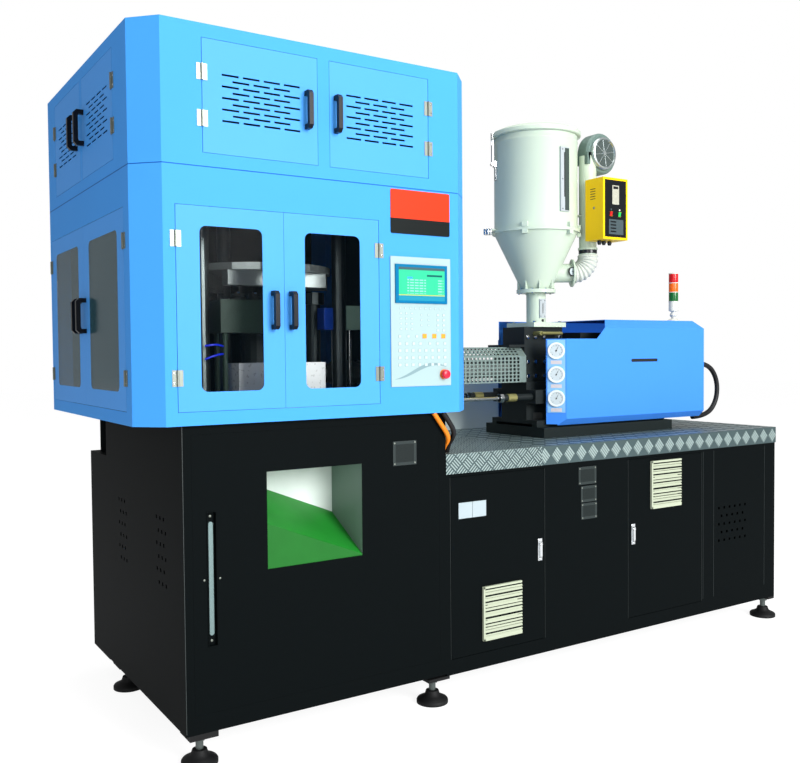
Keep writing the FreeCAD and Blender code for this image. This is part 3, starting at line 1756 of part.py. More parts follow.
def cover_block(name, inset):
    """The cover's outer form, moved in by an inset on every face but the open ones."""
    y, half = size.unit_axis_y, size.cover_half - inset
    low, high = size.cover_low + inset, size.cover_high - inset
    ease = inset * (2 ** 0.5 - 2)
    top, bottom = size.cover_top_bevel + ease, size.cover_low_bevel + ease
    section = [
        (-half, low + bottom), (-half + bottom, low), (half - bottom, low), (half, low + bottom),
        (half, high - top), (half - top, high), (-half + top, high), (-half, high - top),
    ]
    start, end = size.cover_start + inset, size.cover_end - inset
    long = prism(name + "_section", "YZ", section, end - start, (start, y, 0))
    side = size.cover_front_bevel + ease
    front, rear = y - half, y + half
    plan = [
        (start + side, front), (end, front), (end, rear), (start + side, rear),
        (start, rear - side), (start, front + side),
    ]
    upright = prism(name + "_plan", "XY", plan, high - low, (0, 0, low))
    corner = size.cover_end_cut + ease
    face = [
        (start, low), (end, low), (end, high - corner), (end - corner, high), (start, high),
    ]
    profile = prism(name + "_face", "XZ", face, 2 * half, (0, front, 0), back=True)
    return common(name, common(name + "_bevelled", long, upright), profile)


def gauges():
    """Three pressure gauges on the bevelled front corner of the cover."""
    middle = size.cover_front_bevel / 2
    spot = (
        size.cover_start + middle, size.unit_axis_y - size.cover_half + middle,
    )
    facing = Rotation(Vector(0, 0, 1), -45).multiply(TO_FRONT)
    return [
        bar(f"gauge_{index}", (*spot, size.gauge_low + index * size.gauge_pitch),
            size.gauge_radius, size.gauge_thick, facing, facets="fine_facets")
        for index in range(SIZES["gauges"])
    ]


LOOP_ROUTE = (
    (3358, 300, 1577), (3498, 300, 1577), (3598, 300, 1477), (3598, 300, 1337),
    (3498, 300, 1237), (3358, 300, 1237),
)
ORANGE_ROUTE = (
    (1118, -76, 1386), (1152, -77, 1334), (1200, -75, 1272), (1216, -50, 1240),
    (1216, -18, 1216), (1216, -4, 1176),
)
BLACK_ROUTE = (
    (1170, -76, 1386), (1200, -77, 1340), (1240, -70, 1288), (1250, -40, 1252),
    (1250, -6, 1224), (1250, 8, 1176),
)


def bent_tube(name, route, radius):
    """A faceted hose: straight runs joined by arcs as large as the runs allow."""
    spots = [Vector(*spot) for spot in route]
    edges, last, radii = [], spots[0], []
    for before, corner, after in zip(spots, spots[1:], spots[2:]):
        ahead, onward = corner - before, after - corner
        reach = SIZES["tube_bend_share"] * min(ahead.Length, onward.Length)
        ahead.normalize()
        onward.normalize()
        half = ahead.getAngle(onward) / 2
        arc = reach / math.tan(half)
        inward = onward - ahead
        inward.normalize()
        centre = corner + inward * (arc / math.cos(half))
        first, second = corner - ahead * reach, corner + onward * reach
        edges.append(Part.makeLine(last, first))
        edges.append(Part.Arc(first, centre - inward * arc, second).toShape())
        last = second
        radii.append(round(arc))
    edges.append(Part.makeLine(last, spots[-1]))
    spine = Part.Wire(edges)
    facing = FreeCAD.Placement(spots[0], Rotation(Vector(0, 0, 1), spots[1] - spots[0]))
    sides = SIZES["tube_sides"]
    turns = [2 * math.pi * index / sides for index in range(sides + 1)]
    ring = Part.makePolygon([
        Vector(radius * math.cos(turn), radius * math.sin(turn), 0) for turn in turns
    ])
    ring.Placement = facing
    tube = spine.makePipeShell([ring], True, False)
    section = sides / 2 * radius ** 2 * math.sin(2 * math.pi / sides)
    print(f"{name}: radii {radii}, volume over section times length "
          f"{tube.Volume / (section * spine.Length):.4f}")
    return tube


def hoses():
    """The orange and the black hose down to the deck, and the conduit of the rear box."""
    low, high, room = SIZES["deck_top"], SIZES["cab_bottom"], SIZES["hose_room"]
    corner = Vector(SIZES["hose_room_left"], SIZES["hose_room_front"], low)
    between = Part.makeBox(room, room, high - low, corner)
    orange = bent_tube("orange_hose", ORANGE_ROUTE, SIZES["orange_hose"])
    black = bent_tube("black_hose", BLACK_ROUTE, SIZES["black_hose"])
    conduit = bar(
        "conduit",
        (size.base_left + size.rear_box_start + size.conduit_inset,
         base_rear + size.rear_box_deep - size.conduit_inset, size.rear_box_top),
        size.conduit_radius, size.cab_bottom - size.rear_box_top,
    )
    node("service_hoses", group(
        "service_hose_set", made("orange_hose_shape", orange.common(between)),
        made("black_hose_shape", black.common(between)), conduit,
    ))


# ------------------------------------------------------------------- hopper dryer


def hopper():
    """Hopper barrel, cone and feed neck, one on the other."""
    r, wall = size.hopper_radius, size.hopper_wall
    low, rim = size.hopper_low + size.flange_gap, size.hopper_rim
    at = (size.hopper_x, size.unit_axis_y, 0)
    x, y = at[:2]
    drum = bar("hopper_drum", (x, y, low), r, rim - low, facets="wide_facets")
    flange = bar("drum_flange", (x, y, low), size.flange_radius, size.flange_thick,
                 facets="wide_facets")
    bore = bar("drum_bore", (x, y, low - wall), r - wall, rim - low + 2 * wall,
               facets="wide_facets")
    shell = cut("hopper_shell", fuse("drum_solid", drum, flange), bore)
    pane = box(
        "sight_frame",
        (x - size.sight_wide / 2, y - r - size.sight_deep, size.sight_low),
        size.sight_wide, size.sight_deep * 2, size.sight_high,
    )
    room = bar("sight_room", (x, y, size.sight_low - wall), r - wall,
               size.sight_high + 2 * wall, facets="wide_facets")
    ear = box(
        "clip_ear", (r - wall / 2, -size.clip_wide / 2, rim - size.clip_long),
        size.clip_ear, size.clip_wide, size.clip_wide,
    )
    seat = turned("clip_seat", ear, at, SIZES["clip_turn"])
    barrel = fuse(
        "hopper_fuse", shell, cut("sight_trim", pane, room), seat, *hinge_bracket(rim)
    )
    node("hopper", group("hopper_set", barrel, hopper_cone(at), feed_neck(at), clamp(at)))
    hopper_lid(at)


def hopper_cone(at):
    """Cone with its flanges and the hot-air stub."""
    wall, foot = size.hopper_wall, size.cone_foot_radius
    top, collar_top = size.hopper_low, size.collar_low + size.collar_thick
    under = top - 2 * wall
    x, y = at[:2]
    outer = frustum(
        "cone_outer", (x, y, collar_top), foot, size.hopper_radius, under - collar_top
    )
    collar = bar(
        "cone_collar", (x, y, size.collar_low), size.collar_radius, size.collar_thick,
        facets="wide_facets",
    )
    flange = bar(
        "cone_flange", (x, y, under), size.flange_radius, 2 * wall, facets="wide_facets"
    )
    room = frustum(
        "cone_room", (x, y, collar_top), foot - wall, size.hopper_radius - wall,
        top - collar_top
    )
    drain = bar(
        "cone_drain", (x, y, size.collar_low - wall), size.neck_bore,
        size.collar_thick + 2 * wall, facets="fine_facets",
    )
    stub = bar(
        "stub_pipe", (0, 0, size.stub_z), size.stub_radius, size.stub_reach, ALONG_X,
        "fine_facets",
    )
    disc = bar(
        "stub_disc", (size.stub_reach - 2 * wall, 0, size.stub_z), size.stub_flange, 2 * wall,
        ALONG_X, "fine_facets",
    )
    bore = bar(
        "stub_bore", (foot, 0, size.stub_z), size.stub_radius - wall, size.stub_reach, ALONG_X,
        "fine_facets",
    )
    angle = SIZES["stub_turn"]
    pipe = turned("stub_turned", fuse("stub_solid", stub, disc), at, angle)
    hole = turned("stub_hole", bore, at, angle)
    whole = fuse("cone_fuse", outer, collar, flange, pipe)
    return cut("hopper_cone", whole, room, drain, hole)


def feed_neck(at):
    """Round neck on a square flange, between the cone's collar and the feed throat."""
    flat = size.neck_flange_half
    low, (x, y) = size.throat_top, at[:2]
    flange = box(
        "neck_flange_plate", (x - flat, y - flat, low), 2 * flat, 2 * flat, size.neck_flange
    )
    column = bar(
        "neck_column", (x, y, low), size.neck_radius_outer, size.collar_low - low,
        facets="fine_facets",
    )
    feed = bar("neck_bore_rod", (x, y, low - size.sheet), size.neck_bore,
               size.collar_low - low + 2 * size.sheet, facets="fine_facets")
    return cut("feed_neck", fuse("neck_fuse", flange, column), feed)


def clamp(at):
    """Hand wheel that clamps the barrel's flange to the cone's."""
    wall, low = size.hopper_wall, size.hopper_low - size.wheel_thick / 2
    wheel = bar("clamp_wheel", (size.wheel_reach, 0, low), size.wheel_radius, size.wheel_thick)
    lug = box(
        "clamp_lug",
        (size.flange_radius - 2 * wall, -size.wheel_radius / 2,
         size.hopper_low + size.flange_gap + size.flange_thick),
        size.wheel_reach - size.flange_radius + 2 * wall, size.wheel_radius, wall * 2,
    )
    room = bar("clamp_room", (0, 0, low), size.flange_radius + size.flange_gap,
               size.hopper_low + size.flange_gap + size.flange_thick - low, facets="wide_facets")
    return turned("clamp_turned", cut("clamp_cut", fuse("clamp_solid", wheel, lug), room), at,
                  SIZES["clip_turn"])


def hinge_bracket(rim):
    """Cheeks and pin at the rear of the rim, for the lid to turn on."""
    reach, long, cheek = size.lid_hinge_reach, size.lid_hinge_long, size.lid_hinge_cheek
    barrel, gap = size.lid_hinge_barrel, size.flange_gap
    x, z = size.hopper_x, rim + barrel
    inner = size.unit_axis_y + size.hopper_radius - size.hopper_wall / 2
    deep = reach + barrel - size.hopper_radius + size.hopper_wall / 2
    under = rim - gap
    tray = box(
        "hinge_tray", (x - long / 2 - cheek - gap, inner, under - cheek),
        long + 2 * cheek + 2 * gap, deep, cheek,
    )
    cheeks = [
        box(f"hinge_cheek_{index}", (left, size.unit_axis_y + reach - barrel, under - cheek),
            cheek, 2 * barrel, cheek + gap + 2 * barrel)
        for index, left in enumerate((x - long / 2 - cheek - gap, x + long / 2 + gap))
    ]
    pin = bar(
        "hinge_pin", (x - long / 2 - cheek, size.unit_axis_y + reach, z), size.lid_hinge_pin,
        long + 2 * cheek, ALONG_X,
    )
    return tray, *cheeks, pin


def hopper_lid(at):
    """Shallow insulated lid on its rear hinge, and the toggle clip that holds it."""
    rim, lip = size.hopper_rim + size.flange_gap, size.lid_lip
    high, thick = size.lid_high, size.lid_sheet
    x, y = at[:2]
    rise = size.lid_ring_high
    ring = bar("lid_ring", (x, y, rim), lip, rise, facets="wide_facets")
    under = bar(
        "lid_under", (x, y, rim - thick), lip - thick, 2 * thick, facets="wide_facets"
    )
    crown = frustum(
        "lid_crown", (x, y, rim + rise), lip, size.lid_crown_radius, high - rise
    )
    shell = cut("lid_shell", fuse("lid_solid", ring, crown), under)
    z, y = size.hopper_rim + size.lid_hinge_barrel, size.unit_axis_y + size.lid_hinge_reach
    left, long = size.hopper_x - size.lid_hinge_long / 2, size.lid_hinge_long
    arm = box(
        "lid_arm", (left, size.unit_axis_y + lip - 2 * thick, z),
        long, size.lid_hinge_reach - lip + 2 * thick, size.lid_hinge_barrel,
    )
    knuckle = bar("lid_knuckle", (left, y, z), size.lid_hinge_barrel, long, ALONG_X)
    bore = bar(
        "lid_bore", (left - thick, y, z), size.lid_hinge_pin * FACET_REACH
        + size.lid_hinge_slack, long + 2 * thick, ALONG_X,
    )
    node("hopper_lid", cut("lid_cut", fuse("lid_fuse", shell, arm, knuckle), bore))
    wide = size.clip_wide
    low = size.hopper_rim - size.clip_long + wide / 2
    pivot = (size.hopper_radius - size.hopper_wall / 2 + size.clip_ear + size.flange_gap
             + size.clip_hub)
    lever = box(
        "clip_lever", (pivot - size.clip_thick / 2, -wide / 2, low), size.clip_thick, wide,
        size.clip_long - wide / 2 + rise,
    )
    hub = bar(
        "clip_hub", (pivot, -wide / 2, low), size.clip_hub, wide,
        Rotation(Vector(1, 0, 0), -90),
    )
    node("lid_clip", turned(
        "lid_clip_turned", fuse("clip_fuse", lever, hub), at, SIZES["clip_turn"]
    ))


duct_at = (size.hopper_x, size.unit_axis_y, 0)


def duct_spot():
    """Where the duct's axis stands, beside the hopper."""
    angle = math.radians(SIZES["stub_turn"])
    return (size.hopper_x + math.cos(angle) * size.duct_reach,
            size.unit_axis_y + math.sin(angle) * size.duct_reach)


def blower():
    """Blower with its duct down the barrel, the ribbed elbow and the control box."""
    angle = SIZES["stub_turn"]
    duct = bar("duct_pipe", (size.duct_reach, 0, size.duct_low), size.duct_radius,
               size.duct_high - size.duct_low, facets="fine_facets")
    bracket = box(
        "duct_bracket",
        (size.hopper_radius + size.flange_gap, -size.duct_radius / 2, size.sight_low),
        size.duct_reach - size.hopper_radius, size.duct_radius, size.flange_thick,
    )
    pipe = turned("duct_turned", fuse("duct_solid", duct, bracket), duct_at, angle)
    duct_x, duct_y = duct_spot()
    spot_x, spot_y = duct_x + size.snail_reach, duct_y
    front = spot_y - size.snail_deep / 2
    snail = bar("snail", (spot_x, front + size.snail_deep, size.snail_z), size.snail_radius,
                size.snail_deep, TO_FRONT, facets="wide_facets")
    throat = box(
        "snail_throat",
        (duct_x - size.snail_throat_half, front, size.duct_high - size.duct_radius),
        size.snail_throat_half + size.duct_radius, size.snail_deep,
        size.snail_z - size.duct_high + size.duct_radius,
    )
    cap = bar("snail_cap", (spot_x, front, size.snail_z), size.snail_cap_radius,
              size.snail_cap_high, TO_FRONT, facets="fine_facets")
    node("blower", fuse("blower_fuse", pipe, snail, throat, cap))
    ribbed_elbow(angle)
    control_box()


RIB_FORM = ((0.15, "hose_root"), (0.35, "hose_rib"), (0.75, "hose_rib"), (0.95, "hose_root"))


def ribbed_elbow(angle):
    """Ribbed hose from the duct's lower end round to the cone's stub, with the hose loop."""
    slack, sides = SIZES["hose_slack"], SIZES["hose_sides"]
    bend = SIZES["duct_reach"] - SIZES["stub_reach"] - slack
    straight = SIZES["duct_low"] - slack - SIZES["stub_z"] - bend
    root, ribs, rings = SIZES["hose_root"], SIZES["hose_ribs"], SIZES["hose_bore_rings"]
    centre = Vector(SIZES["stub_reach"] + slack, 0, SIZES["stub_z"] + bend)
    quarter = bend * math.pi / 2
    whole = quarter + straight

    def ring(part, radius):
        """The hose's outline across its path at a share of its length."""
        along = part * whole
        angle_here = min(along / quarter, 1) * 90
        turn = Rotation(Vector(0, 1, 0), -angle_here)
        middle = centre + turn.multVec(Vector(0, 0, -bend)) + Vector(
            0, 0, max(along - quarter, 0)
        )
        outline = []
        for index in range(sides + 1):
            spin = 2 * math.pi * (index + 0.5) / sides
            flat = Vector(0, radius * math.cos(spin), radius * math.sin(spin))
            outline.append(middle + turn.multVec(flat))
        return Part.makePolygon(outline)

    steps = [(0, root)]
    for index in range(ribs):
        for share, kind in RIB_FORM:
            steps.append(((index + share) / ribs, SIZES[kind]))
    steps.append((1, root))
    skin = Part.makeLoft([ring(part, radius) for part, radius in steps], True, True)
    inside = Part.makeLoft(
        [ring(index / rings, SIZES["hose_bore"]) for index in range(rings + 1)], True, True
    )
    ribbed = made(
        "ribbed_hose", skin.cut(inside), duct_at, Rotation(Vector(0, 0, 1), angle)
    )
    loop = made("hose_loop", bent_tube("hose_loop", LOOP_ROUTE, SIZES["loop_hose"]))
    node("unit_hoses", group("unit_hose_set", ribbed, loop))


def control_box():
    """Yellow temperature box in front of the duct, with two push buttons."""
    x = size.hopper_x + size.box_corner_x
    y = size.unit_axis_y - size.box_face_y
    shell = box("box_block", (x, y, size.box_low), size.box_wide, size.box_deep, size.box_high)
    duct_x, duct_y = duct_spot()
    duct_front = duct_y - size.duct_radius
    bracket = box(
        "box_bracket",
        (duct_x - size.duct_radius / 3, y + size.box_deep,
         size.box_low + size.box_high / 2),
        size.duct_radius * 2 / 3, duct_front - y - size.box_deep, size.duct_radius,
    )
    holes, pins = [], []
    top = size.box_low + size.box_high
    slack, pin = size.switch_slack, size.switch_pin
    for index, name in enumerate(("red_switch", "green_switch")):
        left, low = x + size.switch_side + index * size.switch_pitch, top - size.switch_drop
        holes.append(box(
            name + "_hole", (left - slack, y - slack, low - slack),
            size.switch_wide + 2 * slack, size.switch_seat + 2 * slack,
            size.switch_high + 2 * slack,
        ))
        rocker = prism(
            name + "_rocker", "YZ",
            [(size.switch_seat, (size.switch_high - size.switch_back) / 2),
             (size.switch_seat, (size.switch_high + size.switch_back) / 2),
             (0, size.switch_high), (-size.switch_reach, size.switch_high),
             (-size.switch_reach / 2, size.switch_high / 2), (0, 0)],
            size.switch_wide, (left, y, low),
        )
        axis_y, axis_z = y + size.switch_seat / 2, low + size.switch_high / 2
        pins.append(bar(
            name + "_pin", (left - 2 * slack, axis_y, axis_z), pin,
            size.switch_wide + 4 * slack, ALONG_X,
        ))
        bore = bar(
            name + "_bore", (left - slack, axis_y, axis_z),
            (pin + size.switch_pin_slack) * FACET_REACH, size.switch_wide + 2 * slack, ALONG_X,
        )
        node(name, cut(name + "_cut", rocker, bore))
    case = cut("control_box_cut", fuse("box_fuse", shell, bracket), *holes)
    node("control_box", fuse("control_box_fuse", case, *pins))


def stack_light():
    """Signal lamp on the cover: foot, stem, case and three lamps."""
    at = (size.stack_x, size.stack_y)
    wide, ring = size.stack_radius, size.stack_ring
    low = size.cover_high
    levels = [("foot", size.stack_foot, size.stack_foot_high)]
    levels += [("stem", size.stack_ball / 2, 2 * size.stack_ball)]
    levels += [("case", wide, size.stack_case)]
    for index in range(SIZES["stack_lamps"]):
        levels += [(f"lamp_{index}", wide - ring / 2, size.stack_lamp - ring)]
        levels += [(f"ring_{index}", wide, ring)]
    parts = []
    for name, radius, high in levels:
        parts.append(bar("stack_" + name, (*at, low), radius, high))
        low = low + high
    node("stack_light", fuse("stack_light_fuse", *parts))


def check(obj):
    """Stop if a sub-part is missing, broken or not a closed solid."""
    shape = obj.Shape
    if shape.isNull() or not shape.isValid() or not shape.Solids:
        raise RuntimeError(f"{obj.Label} is not a valid solid")


def main():
    cabinet()
    doors()
    operator_panel()
    blank_plates()
    tower_base()
    feet()
    injection_base()
    press_frame()
    clamp_platen()
    index_table()
    moulds()
    slide_base()
    carriage()
    throat_and_barrel()
    cover()
    hoses()
    hopper()
    blower()
    stack_light()
    doc.recompute()
    for obj in doc.Objects:
        if "Invalid" in obj.State or "Error" in obj.State:
            raise RuntimeError(f"{obj.Label} did not recompute: {obj.State}")
    os.makedirs("parts", exist_ok=True)
    for obj in nodes:
        check(obj)
        obj.Shape.exportStep(f"parts/{obj.Label}.step")
        print(f"{obj.Label}: {len(obj.Shape.Solids)} solids, {obj.Shape.Volume:.0f} mm3")


main()
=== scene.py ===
import logging
import math
from dataclasses import dataclass, field
from enum import Enum
from typing import Iterable, Sequence, Union

import bpy
from mathutils import Matrix, Vector


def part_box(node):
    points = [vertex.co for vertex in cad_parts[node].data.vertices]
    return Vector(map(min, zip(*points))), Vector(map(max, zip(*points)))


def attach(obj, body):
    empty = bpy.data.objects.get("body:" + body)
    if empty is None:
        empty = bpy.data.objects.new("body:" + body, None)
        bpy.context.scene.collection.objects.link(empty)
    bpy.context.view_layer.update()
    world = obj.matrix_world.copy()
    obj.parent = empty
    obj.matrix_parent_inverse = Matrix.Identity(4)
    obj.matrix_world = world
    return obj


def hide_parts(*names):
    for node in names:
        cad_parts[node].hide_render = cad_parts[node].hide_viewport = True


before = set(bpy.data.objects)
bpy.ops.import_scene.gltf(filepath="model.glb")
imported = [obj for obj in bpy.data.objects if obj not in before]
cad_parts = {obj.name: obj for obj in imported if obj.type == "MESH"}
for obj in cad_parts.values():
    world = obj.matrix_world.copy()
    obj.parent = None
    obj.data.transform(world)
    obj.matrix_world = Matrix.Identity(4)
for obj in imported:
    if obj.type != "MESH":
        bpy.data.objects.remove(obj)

log = logging.getLogger("blow_moulding_machine")
# Edges that turn by more degrees than this stay sharp.
SHARP_FROM = 35.0
# How far faces that would lie in one plane are kept apart, in metres.
SKIN = 0.0002
LEFT, RIGHT = (-1, 0, 0), (1, 0, 0)
FRONT, BACK = (0, -1, 0), (0, 1, 0)
DOWN, UP = (0, 0, -1), (0, 0, 1)
Point = Sequence[float]


# ---- shaders


class Link:
    """A shader socket that Python's operators work on."""

    def __init__(self, graph: "Graph", socket: bpy.types.NodeSocket) -> None:
        """Keep the socket and the graph that new nodes go into."""
        self.graph = graph
        self.socket = socket

    def _math(self, operation: str, first: "Value", second: "Value") -> "Link":
        """Add one Math node.

        Args:
            operation: The node's operation.
            first: Its first value.
            second: Its second value.

        Returns:
            The node's result.
        """
        return self.graph.add("ShaderNodeMath", {"operation": operation}, {0: first, 1: second})

    def __add__(self, other: "Value") -> "Link":
        """Sum."""
        return self._math("ADD", self, other)

    __radd__ = __add__

    def __sub__(self, other: "Value") -> "Link":
        """Difference."""
        return self._math("SUBTRACT", self, other)

    def __rsub__(self, other: "Value") -> "Link":
        """Difference from a number."""
        return self._math("SUBTRACT", other, self)

    def __mul__(self, other: "Value") -> "Link":
        """Product, which is also both masks at once."""
        return self._math("MULTIPLY", self, other)

    __rmul__ = __mul__

    def __truediv__(self, other: "Value") -> "Link":
        """Quotient."""
        return self._math("DIVIDE", self, other)

    def __gt__(self, other: "Value") -> "Link":
        """Mask of where this is the greater."""
        return self._math("GREATER_THAN", self, other)

    def __lt__(self, other: "Value") -> "Link":
        """Mask of where this is the smaller."""
        return self._math("LESS_THAN", self, other)

    def __or__(self, other: "Value") -> "Link":
        """The greater of two masks."""
        return self._math("MAXIMUM", self, other)

    def __mod__(self, other: "Value") -> "Link":
        """Remainder, always positive."""
        return self._math("FLOORED_MODULO", self, other)

    def distance(self, other: "Value") -> "Link":
        """How far this is from a value, never negative."""
        return self._math("ABSOLUTE", self - other, 0.0)


Value = Union[Link, float, int, Sequence[float]]


class Graph:
    """One node tree and the few ways this script adds to it."""

    def __init__(self, owner: Union[bpy.types.Material, bpy.types.World]) -> None:
        """Take up the node tree of a material or a world."""
        owner.use_nodes = True
        self.tree = owner.node_tree

    @property
    def shader(self) -> bpy.types.Node:
        """The material's Principled shader."""
        return self.tree.nodes["Principled BSDF"]

    @staticmethod
    def _find(sockets: Iterable[bpy.types.NodeSocket], key: Union[str, int]):
        """The socket with this identifier, name or number."""
        listed = list(sockets)
        if isinstance(key, int):
            return listed[key]
        for socket in listed:
            if socket.identifier == key:
                return socket
        return next(socket for socket in listed if socket.name == key)

    def put(self, socket: bpy.types.NodeSocket, value: Value) -> None:
        """Give a socket a link or a plain value."""
        if isinstance(value, Link):
            self.tree.links.new(value.socket, socket)
        else:
            socket.default_value = value

    def add(self, kind: str, settings: dict, values: dict, out: Union[str, int] = 0) -> Link:
        """Add a node.

        Args:
            kind: The node's type.
            settings: What is set on the node before its sockets.
            values: Numbers, colours or links by socket.
            out: The socket that is returned.

        Returns:
            The chosen output.
        """
        new = self.tree.nodes.new(kind)
        for key, value in settings.items():
            setattr(new, key, value)
        for key, value in values.items():
            self.put(self._find(new.inputs, key), value)
        return Link(self, self._find(new.outputs, out))

    def mix(self, mask: Value, below: Value, above: Value) -> Link:
        """A colour between two, by a mask."""
        return self.add(
            "ShaderNodeMix", {"data_type": "RGBA"},
            {"Factor_Float": mask, "A_Color": below, "B_Color": above}, "Result_Color",
        )

    def split(self, output: str) -> tuple[Link, Link, Link]:
        """X, Y and Z of one of the object's own coordinates."""
        source = self.add("ShaderNodeTexCoord", {}, {}, output)
        return tuple(self.add("ShaderNodeSeparateXYZ", {}, {0: source}, axis) for axis in "XYZ")

    def place(self) -> tuple[Link, Link, Link]:
        """Where a point lies on the object, in metres."""
        return self.split("Object")

    def facing(self) -> tuple[Link, Link, Link]:
        """Where the surface faces."""
        return self.split("Normal")

    def noise(self, scale: float, detail: float = 2.0) -> Link:
        """Soft noise on the object, from 0 to 1."""
        spot = self.add("ShaderNodeTexCoord", {}, {}, "Object")
        return self.add("ShaderNodeTexNoise", {}, {"Vector": spot, "Scale": scale,
                                                   "Detail": detail})

    def within(self, value: Link, low: float, high: float) -> Link:
        """Mask of where a value lies between two others."""
        return (value > low) * (value < high)

    def bump(self, height: Link, depth: float) -> None:
        """Raise the surface by a height from 0 to 1, at a depth in metres."""
        normal = self.add("ShaderNodeBump", {}, {"Height": height, "Distance": depth}, "Normal")
        self.put(self.shader.inputs["Normal"], normal)

    def set(self, **values: Value) -> None:
        """Set the shader's sockets, with _ for a space in their names."""
        for key, value in values.items():
            self.put(self.shader.inputs[key.replace("_", " ")], value)


def rgb(red: float, green: float, blue: float) -> tuple[float, float, float, float]:
    """A colour for a socket.

    Args:
        red: From 0 to 255, as a screen shows it.
        green: The same.
        blue: The same.

    Returns:
        The linear colour.
    """
    def linear(value: float) -> float:
        """One channel, linear."""
        share = value / 255
        return share / 12.92 if share <= 0.04045 else ((share + 0.055) / 1.055) ** 2.4

    return linear(red), linear(green), linear(blue), 1.0


class Grain(Enum):
    """How a finish breaks up its surface: the noise's scale and detail, and its strength."""

    SMOOTH = (0.0, 0.0, 0.0)
    SPRAYED = (420.0, 2.0, 0.00012)
    BRUSHED = (60.0, 2.0, 0.2)
    CAST = (160.0, 4.0, 0.0008)


@dataclass(frozen=True)
class Finish:
    """A plain finish: one colour with its own gloss and grain."""

    name: str
    colour: tuple
    roughness: float = 0.4
    metallic: float = 0.0
    coat: float = 0.0
    grain: Grain = Grain.SMOOTH
    shift: float = 0.04
    specular: float = 0.4

    def material(self) -> bpy.types.Material:
        """The finish's material, made once."""
        label = "look_" + self.name
        known = bpy.data.materials.get(label)
        if known:
            return known
        made = bpy.data.materials.new(label)
        graph = Graph(made)
        graph.set(Roughness=self.roughness, Metallic=self.metallic, Coat_Weight=self.coat,
                  Specular_IOR_Level=self.specular)
        self.paint(graph)
        return made

    def worn(self, graph: Graph, colour: Value) -> Link:
        """The colour with a faint cloud of darker tone in it."""
        cloud = graph.noise(3.0) * self.shift
        return graph.mix(cloud, colour, (0.0, 0.0, 0.0, 1.0))

    def paint(self, graph: Graph) -> None:
        """Set colour and grain."""
        graph.set(Base_Color=self.worn(graph, self.colour))
        self.break_up(graph)

    def break_up(self, graph: Graph) -> None:
        """Add the grain, as gloss on brushed steel and as relief on the rest."""
        scale, detail, strength = self.grain.value
        if self.grain is Grain.BRUSHED:
            gloss = graph.noise(scale, detail) * strength
            graph.set(Roughness=gloss + (self.roughness - strength / 2))
        elif self.grain is not Grain.SMOOTH:
            graph.bump(graph.noise(scale, detail), strength)


BLUE = rgb(66, 148, 228)
BLACK = rgb(10, 14, 15)
RUBBER_BLACK = rgb(18, 19, 20)
CREAM = rgb(172, 180, 158)
BRIGHT = rgb(205, 208, 208)
# Near black for the inner side of the cabinet sheet: painted shade.
INSIDE_SHADE = rgb(3, 5, 6)
SEAM_BLUE = rgb(10, 70, 150)

COVER_PAINT = Finish("cover_paint", rgb(62, 132, 226), 0.5, grain=Grain.SPRAYED,
                     specular=0.08)
BASE_PAINT = Finish("base_paint", BLACK, 0.5, grain=Grain.SPRAYED, shift=0.0, specular=0.015)
HANDLE_BLACK = Finish("handle_black", rgb(10, 13, 20), 0.25)
HINGE_STEEL = Finish("hinge_steel", rgb(122, 128, 120), 0.36, metallic=0.6)
POLISHED = Finish("polished_steel", BRIGHT, 0.16, metallic=1.0)
POST_STEEL = Finish("post_steel", rgb(84, 92, 92), 0.34, metallic=1.0)
SATIN = Finish("satin_ring", rgb(176, 186, 186), 0.32, metallic=0.9)
TROUGH_STEEL = Finish("trough_steel", rgb(112, 134, 134), 0.4, metallic=0.4)
MACHINED = Finish("machined_steel", rgb(150, 160, 158), 0.34, metallic=0.85,
                  grain=Grain.BRUSHED)
BEAM_PAINT = Finish("beam_paint", rgb(22, 30, 30), 0.5, grain=Grain.CAST, specular=0.15)
BLOCK_PAINT = Finish("block_paint", rgb(40, 58, 50), 0.5, grain=Grain.CAST, specular=0.2)
CAST_DARK = Finish("dark_casting", rgb(20, 27, 28), 0.5, grain=Grain.CAST, specular=0.2)
MOULD_STEEL = Finish("mould_steel", rgb(214, 220, 220), 0.3, metallic=0.3,
                     grain=Grain.BRUSHED)
GUARD_STEEL = Finish("guard_steel", rgb(122, 140, 136), 0.36, metallic=0.5,
                     grain=Grain.BRUSHED)
HOPPER_PAINT = Finish("hopper_paint", rgb(184, 199, 182), 0.4, specular=0.3)
# Darker than the hopper's paint, as painted shade for the shadow that the blower lies in.
BLOWER_SHADED_PAINT = Finish("blower_shaded_paint", rgb(94, 114, 108), 0.4, specular=0.2)
SIGHT_STRIP = Finish("sight_strip", rgb(164, 172, 176), 0.35)
SIGHT_GLASS = Finish("sight_glass", rgb(70, 82, 78), 0.15, metallic=0.3)
LID_GLASS = Finish("lid_glass", rgb(88, 100, 98), 0.2, metallic=0.5)
YELLOW_PAINT = Finish("yellow_paint", rgb(232, 190, 4), 0.42, specular=0.2)
FASCIA_BLACK = Finish("fascia_black", rgb(12, 16, 20), 0.4, specular=0.15)
LABEL_GREY = Finish("label_grey", rgb(62, 76, 80), 0.5, specular=0.2)
DISPLAY_PALE = Finish("display_pale", rgb(166, 166, 152), 0.3, specular=0.2)
SWITCH_RED = Finish("switch_red", rgb(190, 12, 12), 0.3)
SWITCH_GREEN = Finish("switch_green", rgb(22, 180, 84), 0.3)
STOP_RED = Finish("stop_red", rgb(214, 22, 52), 0.3)
COLLAR_YELLOW = Finish("collar_yellow", rgb(226, 110, 8), 0.4)
KEY_PALE = Finish("key_pale", rgb(176, 194, 196), 0.45)
KEY_EDGE = Finish("key_edge", rgb(112, 140, 146), 0.45)
KEY_ORANGE = Finish("key_orange", rgb(224, 144, 12), 0.45)
PANEL_FACE = Finish("panel_face", rgb(152, 176, 178), 0.45, specular=0.2)
BEZEL_BLUE = Finish("bezel_blue", rgb(12, 100, 142), 0.35)
